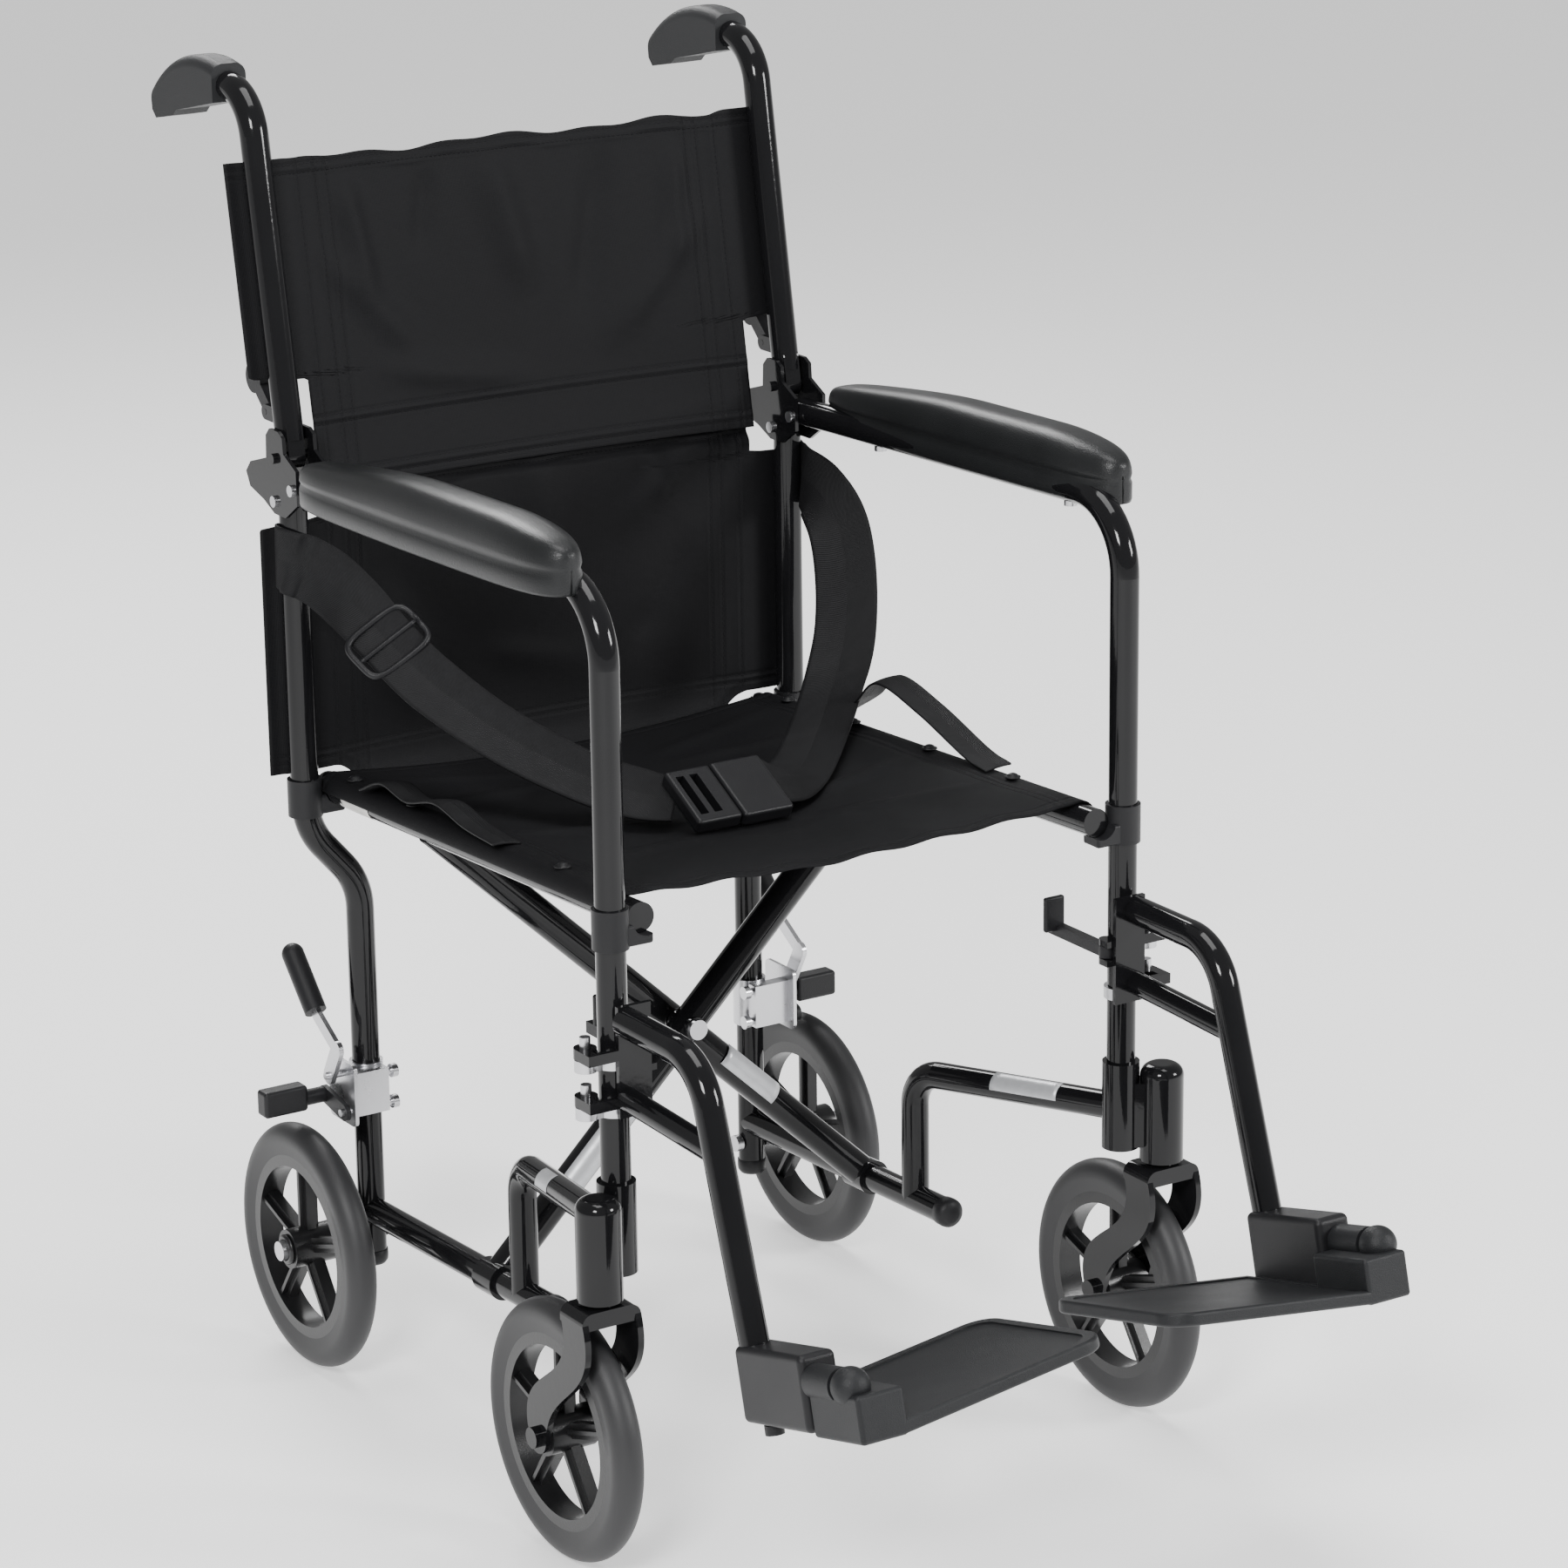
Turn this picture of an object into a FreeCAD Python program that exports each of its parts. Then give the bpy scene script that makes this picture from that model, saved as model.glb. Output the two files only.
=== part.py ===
import FreeCAD, Part
import math
import os

# Folding transport wheelchair. Millimetres, +Z up, the chair faces -Y, the origin is on the floor
# under the middle of the chair. The occupant's right side is at -X and holds the root side frame.

V = FreeCAD.Vector
X_AXIS = V(1, 0, 0)
Y_AXIS = V(0, 1, 0)
Z_AXIS = V(0, 0, 1)
ORIGIN = V(0, 0, 0)

doc = FreeCAD.newDocument("transport_wheelchair")
sheet = doc.addObject("Spreadsheet::Sheet", "sizes")

SIZES = {
    # side frames
    "frame_half_width": 224.0,
    "leg_inset": 44.0,
    "tube_radius": 11.1,
    "tube_wall": 1.6,
    "post_depth": -156.0,
    "post_foot_rise": 14.0,
    "arm_drop": 18.0,
    "arm_tilt": 1.8,
    "arm_rear_gap": 27.0,
    "arm_bend_radius": 55.0,
    "rear_depth": 313.0,
    "rear_post_drop": 29.0,
    "jog_top_drop": 37.0,
    "jog_height": 52.0,
    "jog_radius": 58.0,
    "leg_foot_drop": 16.0,
    "rail_rise": 26.0,
    "rail_front_end": 22.0,
    "riser_depth": 63.0,
    "riser_height": 110.0,
    "riser_bend_radius": 30.0,
    "riser_end_rise": 42.0,
    # folding brace
    "seat_tilt": 2.5,
    "brace_radius": 12.7,
    "brace_wall": 2.0,
    "brace_depth": 123.0,
    "arm_spacing": 30.0,
    "seat_rail_inset": 25.0,
    "seat_rail_height": 484.0,
    "seat_rail_overhang": 16.0,
    "seat_rail_rear_gap": 5.5,
    "brace_bolt_radius": 4.0,
    "sleeve_wall": 3.0,
    "sleeve_length": 28.0,
    "turning_gap": 0.05,
    "clear_gap": 0.5,
    # back canes and push grips
    "hinge_height": 745.0,
    "hinge_offset": 2.0,
    "cane_foot_rise": 12.0,
    "cane_lean": 9.6,
    "cane_rise": 281.0,
    "cane_bend_radius": 40.0,
    "handle_droop": 12.0,
    "handle_reach": 137.0,
    "grip_width": 29.0,
    "cheek_gap": 11.6,
    "cheek_thickness": 3.0,
    "hinge_pin_radius": 4.0,
    # wheels and casters
    "wheel_radius": 100.0,
    "tyre_half_width": 12.0,
    "rim_radius": 75.0,
    "rim_depth": 9.0,
    "hub_radius": 16.0,
    "hub_half_length": 19.0,
    "axle_radius": 4.0,
    "spoke_count": 5,
    "spoke_width": 12.0,
    "caster_offset": 26.0,
    "rear_wheel_offset": 57.0,
    "caster_lead": 18.0,
    "caster_trail": 55.0,
    "housing_radius": 17.0,
    "stem_gap": 3.0,
    "housing_length": 78.0,
    "stem_radius": 6.0,
    "crown_gap": 6.0,
    "crown_thickness": 13.0,
    "fork_gap": 4.0,
    "fork_thickness": 5.0,
    # wheel locks
    "lock_rise": 126.0,
    "lock_plate_offset": 27.0,
    "lock_shoe_offset": 11.0,
    "lock_shoe_drop": 6.0,
    "lock_shoe_radius": 9.5,
    # armrest pads
    "pad_front_gap": 20.0,
    "pad_rear_gap": 53.0,
    "pad_offset": 13.0,
    "pad_half_width": 25.0,
    "pad_height": 49.0,
    "pad_skirt_drop": 7.0,
    # swing-away footrests
    "swing_offset": 23.0,
    "hanger_top": 428.0,
    "hanger_lower": 370.0,
    "hanger_reach": 120.0,
    "hanger_bend_radius": 45.0,
    "hanger_slope": 0.35,
    "hanger_foot": 214.0,
    "latch_inset": 20.0,
    "latch_height": 392.0,
    "foot_axis_rise": 14.5,
    "foot_block_length": 90.0,
    "foot_block_width": 30.0,
    "foot_knob_radius": 14.0,
    "plate_width": 158.0,
    "plate_length": 180.0,
    "plate_thickness": 10.0,
    "plate_drop": 28.0,
    "plate_tilt": 7.0,
    # soft parts
    "sling_front_gap": 4.0,
    "sling_rear_gap": 17.0,
    "sling_thickness": 3.0,
    "sling_sag": 12.0,
    "back_notch_inset": 27.0,
    "back_wing_offset": 22.0,
    "notch_rise": 55.0,
    "notch_drop": 57.0,
    "back_bottom_rise": 4.5,
    "back_rise": 219.0,
    "back_thickness": 3.0,
    "belt_width": 50.0,
    "belt_thickness": 2.0,
    "buckle_rise": 10.0,
    "buckle_depth": 19.0,
    "buckle_centre": -20.0,
    "buckle_width": 60.0,
    "buckle_thickness": 13.0,
    "buckle_lean": 28.0,
}
for row, (alias, value) in enumerate(SIZES.items(), start=1):
    sheet.set("A%d" % row, alias)
    sheet.set("B%d" % row, repr(value))
    sheet.setAlias("B%d" % row, alias)
doc.recompute()


def size(alias):
    """One driving dimension, read back from the spreadsheet."""
    return float(sheet.get(alias))


# ---------------------------------------------------------------- shape helpers
def unit(vector):
    """The vector's direction with length one."""
    return V(vector).normalize()


def bent_path(points, radius):
    """Straight runs through the points, joined by tangent arcs of one radius."""
    edges = []
    here = points[0]
    for before, corner, after in zip(points, points[1:], points[2:]):
        back = unit(before - corner)
        ahead = unit(after - corner)
        half_turn = (math.pi - back.getAngle(ahead)) / 2
        reach = radius * math.tan(half_turn)
        start = corner + back * reach
        end = corner + ahead * reach
        middle = corner + unit(back + ahead) * (radius / math.cos(half_turn) - radius)
        edges.append(Part.LineSegment(here, start).toShape())
        edges.append(Part.Arc(start, middle, end).toShape())
        here = end
    edges.append(Part.LineSegment(here, points[-1]).toShape())
    return Part.Wire(edges)


def rod(points, bend_radius, radius):
    """A solid round bar along the bent path."""
    path = bent_path(points, bend_radius)
    circle = Part.Circle(points[0], unit(points[1] - points[0]), radius)
    return path.makePipeShell([Part.Wire(circle.toShape())], True, True)


def tube(points, bend_radius, radius, wall):
    """A hollow round tube along the bent path."""
    return rod(points, bend_radius, radius).cut(rod(points, bend_radius, radius - wall))


def bar(start, end, radius):
    """A straight round bar between two points."""
    return Part.makeCylinder(radius, (end - start).Length, start, end - start)


def block(low, high):
    """A box between two opposite corners."""
    return Part.makeBox(high[0] - low[0], high[1] - low[1], high[2] - low[2], V(*low))


def side_plate(outline, low_x, high_x):
    """A flat plate in the YZ plane, from a closed outline of (y, z) points."""
    points = [V(low_x, y, z) for y, z in outline]
    face = Part.Face(Part.makePolygon(points + points[:1]))
    return face.extrude(V(high_x - low_x, 0, 0))


def link(first, second, radius, low_x, high_x):
    """A plate in the YZ plane with a round end at each of two (y, z) points."""
    width = high_x - low_x
    along = unit(V(0, second[0] - first[0], second[1] - first[1]))
    across = along.cross(X_AXIS) * radius
    a = V(low_x, *first)
    b = V(low_x, *second)
    strip = Part.Face(Part.makePolygon([a + across, b + across, b - across, a - across, a + across]))
    ends = [Part.makeCylinder(radius, width, p, X_AXIS) for p in (a, b)]
    return strip.extrude(V(width, 0, 0)).fuse(ends).removeSplitter()


def fuse(shapes):
    """One solid from several that overlap."""
    return shapes[0].fuse(shapes[1:]).removeSplitter()


def softened(shape, radius, choose=None):
    """The solid with its chosen edges rounded."""
    edges = [e for e in shape.Edges if choose is None or choose(e)]
    return shape.makeFillet(radius, edges)


def tilt(shape):
    """Raise the front of a piece of the brace by the seat's tilt."""
    pivot = V(0, size("brace_depth"), rail_z)
    turn = FreeCAD.Rotation(X_AXIS, -size("seat_tilt"))
    return shape.transformed(FreeCAD.Placement(ORIGIN, turn, pivot).toMatrix(), True)


NODES = []


def keep(label, shape, at=ORIGIN):
    """Add one sub-part to the document under its node name."""
    piece = doc.addObject("Part::Feature", label)
    piece.Label = label
    piece.Shape = shape
    piece.Placement = FreeCAD.Placement(at, FreeCAD.Rotation())
    NODES.append(piece)
    return piece


def keep_pair(stem, shape, at=ORIGIN):
    """Add a right-hand piece and its mirror image on the left side."""
    keep("right_" + stem, shape, at)
    keep("left_" + stem, shape.mirror(ORIGIN, X_AXIS), V(-at.x, at.y, at.z))


# ---------------------------------------------------------------- values used in several pieces
tube_r = size("tube_radius")
wall = size("tube_wall")
gap = size("clear_gap")
turn_gap = size("turning_gap")
lean = math.tan(math.radians(size("cane_lean")))

# places across the chair, from its middle
half_width = size("frame_half_width")
leg_half = half_width - size("leg_inset")
seat_rail_half = half_width - size("seat_rail_inset")
front_track_half = half_width + size("caster_offset")
rear_track_half = leg_half + size("rear_wheel_offset")
lock_plate_half = leg_half + size("lock_plate_offset")
pad_centre_half = half_width + size("pad_offset")
swing_half = half_width + size("swing_offset")
latch_half = half_width - size("latch_inset")
back_half = half_width - size("back_notch_inset")
back_wing_half = half_width + size("back_wing_offset")
side = -half_width
leg = -leg_half

# places along the chair
post_y = size("post_depth")
rear_y = size("rear_depth")
hinge_y = rear_y - size("hinge_offset")
arm_rear = rear_y - size("arm_rear_gap")
seat_rail_front = post_y - size("seat_rail_overhang")
seat_rail_rear = rear_y - size("seat_rail_rear_gap")
sling_front = post_y + size("sling_front_gap")
sling_rear = rear_y - size("sling_rear_gap")
pad_front = post_y + size("pad_front_gap")
pad_rear = rear_y - size("pad_rear_gap")
caster_y = post_y - size("caster_lead")
hanger_corner = post_y - size("hanger_reach")

# heights
axle_z = size("wheel_radius")
seat_z = size("seat_rail_height")
hinge_z = size("hinge_height")
rail_z = axle_z + size("rail_rise")
leg_foot = axle_z - size("leg_foot_drop")
lock_z = axle_z + size("lock_rise")
crown_z = 2 * axle_z + size("crown_gap")
housing_foot = crown_z + size("crown_thickness") + size("stem_gap")
housing_top = housing_foot + size("housing_length")
post_foot = housing_foot + size("post_foot_rise")
riser_end_z = housing_foot + size("riser_end_rise")
riser_top = rail_z + size("riser_height")
jog_top = seat_z - size("jog_top_drop")
jog_bottom = jog_top - size("jog_height")
arm_z = hinge_z - size("arm_drop")
rear_post_top = hinge_z - size("rear_post_drop")
cane_foot = hinge_z + size("cane_foot_rise")
cane_corner_z = hinge_z + size("cane_rise")
notch_top = hinge_z + size("notch_rise")
notch_foot = hinge_z - size("notch_drop")
back_top = hinge_z + size("back_rise")
back_bottom = seat_z + size("back_bottom_rise")
buckle_base = seat_z + size("buckle_rise")
hinge = (hinge_y, hinge_z)


def rail_z_at(depth):
    """Height of the tilted lower rail at a depth."""
    return rail_z + (size("brace_depth") - depth) * math.tan(math.radians(size("seat_tilt")))


def arm_z_at(depth):
    """Height of the armrest tube at a depth; it rises towards the front."""
    return arm_z + (arm_rear - depth) * math.tan(math.radians(size("arm_tilt")))


def cane_y(height):
    """Depth of the leaning back cane at a height."""
    return hinge_y + (height - hinge_z) * lean


# ---------------------------------------------------------------- side frames
def front_frame_points():
    """Armrest tube, front bend and front post."""
    return [
        V(side, arm_rear, arm_z),
        V(side, post_y, arm_z_at(post_y)),
        V(side, post_y, post_foot),
    ]


def rear_post_points():
    """Rear post: straight above, jogged inboard below the seat, straight to the axle."""
    return [
        V(side, rear_y, rear_post_top),
        V(side, rear_y, jog_top),
        V(leg, rear_y, jog_bottom),
        V(leg, rear_y, leg_foot),
    ]


front_rod = rod(front_frame_points(), size("arm_bend_radius"), tube_r)
rear_rod = rod(rear_post_points(), size("jog_radius"), tube_r)
axle_hole = bar(V(leg - 30, rear_y, axle_z), V(leg + 30, rear_y, axle_z), size("axle_radius"))

keep_pair("front_frame_tube", tube(front_frame_points(), size("arm_bend_radius"), tube_r, wall))
rear_post = tube(rear_post_points(), size("jog_radius"), tube_r, wall)
keep_pair("rear_post", rear_post.cut(axle_hole))


def lower_rail():
    """Lower fore-and-aft rail with the riser tube welded to it, up and forward to the front post."""
    rail_rear = V(leg, rear_y, rail_z_at(rear_y))
    rail_front = V(leg, size("rail_front_end"), rail_z_at(size("rail_front_end")))
    riser_foot = V(leg, size("riser_depth"), rail_z_at(size("riser_depth")))
    riser_knee = V(leg, size("riser_depth"), riser_top)
    riser_end = V(side, post_y, riser_end_z)
    riser = [riser_foot, riser_knee, riser_end]
    outer = fuse([bar(rail_rear, rail_front, tube_r), rod(riser, size("riser_bend_radius"), tube_r)])
    inside = V(0, -1, math.tan(math.radians(size("seat_tilt")))).normalize() * 6
    bore = bar(rail_rear, rail_front - inside, tube_r - wall)
    riser_bore = rod(riser, size("riser_bend_radius"), tube_r - wall)
    welded = outer.cut([bore, riser_bore])
    return welded.cut([rear_rod, front_rod, caster_housing_solid()])


def caster_housing_solid():
    """Caster barrel beside the front post, with the sleeve that clamps it to the post."""
    pivot = V(-front_track_half, caster_y, 0)
    post = V(side, post_y, 0)
    foot = housing_foot
    top = housing_top
    radius = size("housing_radius")
    barrel = Part.makeCylinder(radius, top - foot, pivot + Z_AXIS * foot)
    barrel = softened(barrel, radius * 0.55, lambda e: e.BoundBox.ZMin > top - 1)
    sleeve = Part.makeCylinder(tube_r + 3.4, top - foot - 8, post + Z_AXIS * (foot + 10))
    middle = (pivot + post) * 0.5
    web = Part.makeBox(22, 20, top - foot - 26, V(-11, -10, 0))
    web.rotate(ORIGIN, Z_AXIS, math.degrees(math.atan2(pivot.y - post.y, pivot.x - post.x)))
    web.translate(middle + Z_AXIS * (foot + 12))
    return fuse([barrel, sleeve, web])


def caster_housing():
    """The housing with its stem bore and the post's seat."""
    pivot = V(-front_track_half, caster_y, 0)
    foot = housing_foot
    bore = Part.makeCylinder(size("stem_radius") + turn_gap, 64, pivot + Z_AXIS * (foot - 1))
    return caster_housing_solid().cut([front_rod, bore])


keep_pair("lower_rail", lower_rail())
keep_pair("caster_housing", caster_housing())


def rail_saddles():
    """Two moulded cradles on the posts, which carry the seat rail when the chair is open."""
    rail = tilt(bar(
        V(-seat_rail_half, seat_rail_front - 60, seat_z),
        V(-seat_rail_half, seat_rail_rear + 60, seat_z),
        tube_r + gap,
    ))
    saddles = []
    rise = seat_z - rail_z
    for depth, post in ((post_y, front_rod), (rear_y, rear_rod)):
        middle = rail_z_at(depth) + rise
        collar = Part.makeCylinder(tube_r + 2.5, 30, V(side, depth, middle - 18))
        cradle = block((side, depth - 10, middle - 17), (5 - seat_rail_half, depth + 10, middle - 1.5))
        saddles.append(fuse([collar, softened(cradle, 2)]).cut([rail, post]))
    return Part.makeCompound(saddles)


keep_pair("rail_saddles", rail_saddles())


def armrest_pad():
    """Moulded arm pad: crowned, lower at its rear, its skirt hanging down over the arm tube."""
    front = pad_front
    rear = pad_rear
    half = size("pad_half_width")
    low = arm_z - size("pad_skirt_drop")
    top = low + size("pad_height")
    outline = [
        (front, low), (front, low + 20), (front + 12, top - 10), (front + 45, top),
        (rear - 130, top - 4), (rear - 40, top - 14), (rear, low + 22), (rear, low),
    ]
    centre = -pad_centre_half
    pad = side_plate(outline, centre - half, centre + half)
    pad = softened(pad, 8, lambda e: abs(e.BoundBox.YMax - e.BoundBox.YMin) < 0.1
                   and e.BoundBox.ZMax - e.BoundBox.ZMin > 5)
    pivot = V(0, arm_rear, arm_z)
    turn = FreeCAD.Rotation(X_AXIS, -size("arm_tilt"))
    tilted = pad.transformed(FreeCAD.Placement(ORIGIN, turn, pivot).toMatrix(), True)
    return tilted.cut(front_rod)


keep_pair("armrest_pad", armrest_pad())


# ---------------------------------------------------------------- fold-down back
cheek_in = size("cheek_gap")
cheek_out = cheek_in + size("cheek_thickness")


def hinge_bracket():
    """Two cheeks that join the arm tube, the rear post and the back cane's pivot."""
    depth, height = hinge
    outline = [(depth + y, height + z) for y, z in (
        (-34, -31), (-34, -4), (-14, 6), (-13, 18), (-6, 22), (8, 22), (14, 16), (15, -2),
        (42, -10), (50, -19), (44, -30), (22, -36), (4, -44), (-14, -44),
    )]
    cheeks = [
        side_plate(outline, side + cheek_in, side + cheek_out),
        side_plate(outline, side - cheek_out, side - cheek_in),
    ]
    pin = bar(V(side - cheek_out - 3, *hinge), V(side + cheek_out + 3, *hinge), size("hinge_pin_radius"))
    return fuse(cheeks + [pin]).cut([rear_rod, front_rod])


keep_pair("hinge_bracket", hinge_bracket())


def cane_points():
    """Back cane: leaning straight run, then the bend into the push handle."""
    corner = V(side, cane_y(cane_corner_z), cane_corner_z)
    droop = math.radians(size("handle_droop"))
    reach = size("handle_reach")
    return [
        V(side, cane_y(cane_foot), cane_foot),
        corner,
        corner + V(0, reach * math.cos(droop), -reach * math.sin(droop)),
    ]


cane_rod = rod(cane_points(), size("cane_bend_radius"), tube_r)
lever_pin = (hinge[0] + 25, hinge[1] + 31)


def back_cane():
    """Upper back tube with its hinge knuckle and the two lugs of the release lever."""
    foot = cane_foot
    knuckle = link(hinge, (cane_y(foot + 10), foot + 10), 9.5, side - 7, side + 7)
    lugs = [
        link(lever_pin, (cane_y(lever_pin[1]) + 4, lever_pin[1]), 6, side + low, side + low + 2.5) for low in (-8.8, 6.3)
    ]
    pin = bar(V(side - 9, *lever_pin), V(side + 9, *lever_pin), 2.5)
    shell = tube(cane_points(), size("cane_bend_radius"), tube_r, wall)
    hole = bar(V(side - 20, *hinge), V(side + 20, *hinge), size("hinge_pin_radius") + turn_gap)
    bore = bar(V(side, cane_y(foot + 22), foot + 22), V(side, cane_y(900), 900), tube_r - wall)
    return fuse([shell, knuckle] + lugs + [pin]).cut([hole, bore])


def push_grip():
    """Moulded push grip: arched top, flat sides, small hook under its rear end."""
    end_y = cane_y(cane_corner_z) + size("handle_reach") + 3
    arch = Part.Arc(V(side, end_y - 108, cane_corner_z + 9), V(side, end_y - 60, cane_corner_z + 10),
                    V(side, end_y, cane_corner_z - 20)).toShape()
    corners = [(0, -20), (-2, -39), (-8, -45), (-38, -39), (-44, -34), (-74, -27.5), (-108, -20), (-108, 9)]
    points = [V(side, end_y + y, cane_corner_z + z) for y, z in corners]
    lower = [Part.LineSegment(a, b).toShape() for a, b in zip(points, points[1:])]
    half = size("grip_width") / 2
    face = Part.Face(Part.Wire([arch] + lower))
    face.translate(V(-half, 0, 0))
    grip = face.extrude(V(2 * half, 0, 0))
    grip = softened(grip, 9, lambda e: e.BoundBox.XMax - e.BoundBox.XMin < 0.1
                    and e.BoundBox.ZMax > cane_corner_z and e.BoundBox.YMax - e.BoundBox.YMin > 60)
    return grip.cut(cane_rod)


def release_lever():
    """Teardrop thumb lever behind the cane, which frees the back to fold down."""
    head = (lever_pin[0] + 24, lever_pin[1] + 22)
    blade = fuse([
        Part.makeCylinder(12, 12, V(side - 6, *head), X_AXIS),
        link(lever_pin, head, 6, side - 6, side + 6),
    ])
    hole = bar(V(side - 20, *lever_pin), V(side + 20, *lever_pin), 2.5 + turn_gap)
    return blade.cut(hole)


keep_pair("back_cane", back_cane())
keep_pair("push_grip", push_grip())
keep_pair("back_release_lever", release_lever())


# ---------------------------------------------------------------- folding brace and seat rails
def brace_arm(depth, low_side):
    """One diagonal arm from a lower rail up to the opposite seat rail, with its rail sleeve."""
    low = V(low_side * leg_half, depth, rail_z)
    high = V(-low_side * seat_rail_half, depth, seat_z)
    outer = bar(low, high, size("brace_radius"))
    inner = bar(low, high, size("brace_radius") - size("brace_wall"))
    half = size("sleeve_length") / 2
    hole_r = tube_r + turn_gap
    sleeve = bar(low - Y_AXIS * half, low + Y_AXIS * half, hole_r + size("sleeve_wall"))
    hole = bar(low - Y_AXIS * 60, low + Y_AXIS * 60, hole_r)
    rail = bar(high - Y_AXIS * 60, high + Y_AXIS * 60, tube_r)
    centre = V(0, depth, brace_centre_z())
    boss = bar(centre - Y_AXIS * (size("brace_radius") + 1), centre + Y_AXIS * (size("brace_radius") + 1), 9)
    bolt = bar(centre - Y_AXIS * 60, centre + Y_AXIS * 60, size("brace_bolt_radius") + bolt_gap(low_side))
    return tilt(outer.cut(inner).fuse([sleeve, boss]).removeSplitter().cut([hole, rail, bolt]))


def bolt_gap(low_side):
    """The centre bolt is tight in the first arm and turns in the second."""
    return 0.0 if low_side < 0 else turn_gap


def brace_centre_z():
    """Height where the two arms cross."""
    rise = seat_z - rail_z
    run = seat_rail_half + leg_half
    return rail_z + rise * leg_half / run


arm_a_y = size("brace_depth") - size("arm_spacing") / 2
arm_b_y = size("brace_depth") + size("arm_spacing") / 2
keep("brace_arm_a", brace_arm(arm_a_y, -1))
keep("brace_arm_b", brace_arm(arm_b_y, 1))


def brace_bolt():
    """Centre bolt with its head, spacer washer and nut."""
    centre = V(0, 0, brace_centre_z())
    reach = size("brace_radius") + 1
    front = centre + Y_AXIS * (arm_a_y - reach)
    rear = centre + Y_AXIS * (arm_b_y + reach + gap)
    shank = bar(front, rear, size("brace_bolt_radius"))
    head = bar(front - Y_AXIS * 5, front, 8)
    nut = bar(rear, rear + Y_AXIS * 6, 7.5)
    return tilt(fuse([shank, head, nut]))


keep("brace_bolt", brace_bolt())


def seat_rail(sign):
    """Seat rail tube with closed ends."""
    front = V(sign * seat_rail_half, seat_rail_front, seat_z)
    rear = V(sign * seat_rail_half, seat_rail_rear, seat_z)
    inset = Y_AXIS * 3
    return tilt(bar(front, rear, tube_r).cut(bar(front + inset, rear - inset, tube_r - wall)))


keep("right_seat_rail", seat_rail(-1))
keep("left_seat_rail", seat_rail(1))


# ---------------------------------------------------------------- wheels and casters
def wheel_tyre():
    """Solid rounded tyre about the X axis."""
    half = size("tyre_half_width")
    rim = size("rim_radius")
    crown = size("wheel_radius")
    shoulder = crown - half * 1.3
    left = V(-half, 0, shoulder)
    right = V(half, 0, shoulder)
    edges = [
        Part.Arc(left, V(0, 0, crown), right).toShape(),
        Part.LineSegment(right, V(half - 2, 0, rim)).toShape(),
        Part.LineSegment(V(half - 2, 0, rim), V(2 - half, 0, rim)).toShape(),
        Part.LineSegment(V(2 - half, 0, rim), left).toShape(),
    ]
    return Part.Face(Part.Wire(edges)).revolve(ORIGIN, X_AXIS, 360)


def wheel_rim():
    """Moulded rim: ring, five ribbed spokes and the hub barrel."""
    half = size("tyre_half_width") - 2
    ring_r = size("rim_radius")
    ring = bar(V(-half, 0, 0), V(half, 0, 0), ring_r)
    ring = ring.cut(bar(V(-half, 0, 0), V(half, 0, 0), ring_r - size("rim_depth")))
    hub_half = size("hub_half_length")
    hub = bar(V(-hub_half, 0, 0), V(hub_half, 0, 0), size("hub_radius"))
    spokes = []
    width = size("spoke_width") / 2
    for index in range(int(size("spoke_count"))):
        blade = block((-4, -width, 0), (4, width, ring_r - 4))
        rib = block((-8, -1.6, 0), (8, 1.6, ring_r - 4))
        spoke = blade.fuse(rib)
        spoke.rotate(ORIGIN, X_AXIS, index * 360 / size("spoke_count"))
        spokes.append(spoke)
    rim = fuse([ring, hub] + spokes)
    return rim.cut(bar(V(-60, 0, 0), V(60, 0, 0), size("axle_radius") + turn_gap))


front_centre = V(-front_track_half, caster_y + size("caster_trail"), axle_z)
rear_centre = V(-rear_track_half, rear_y, axle_z)
for place, centre in (("front", front_centre), ("rear", rear_centre)):
    keep_pair(place + "_tyre", wheel_tyre(), centre)
    keep_pair(place + "_rim", wheel_rim(), centre)


def curved_leg(front_edge, rear_edge, low_x, high_x):
    """A plate in the YZ plane between two smooth edges, joined by straight ends."""
    curves = []
    for edge in (front_edge, rear_edge):
        curve = Part.BSplineCurve()
        curve.interpolate([V(low_x, y, z) for y, z in edge])
        curves.append(curve.toShape())
    ends = [Part.LineSegment(V(low_x, *front_edge[-1]), V(low_x, *rear_edge[0])).toShape(),
            Part.LineSegment(V(low_x, *rear_edge[-1]), V(low_x, *front_edge[0])).toShape()]
    outline = Part.Wire([curves[0], ends[0], curves[1], ends[1]])
    return Part.Face(outline).extrude(V(high_x - low_x, 0, 0))


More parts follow.
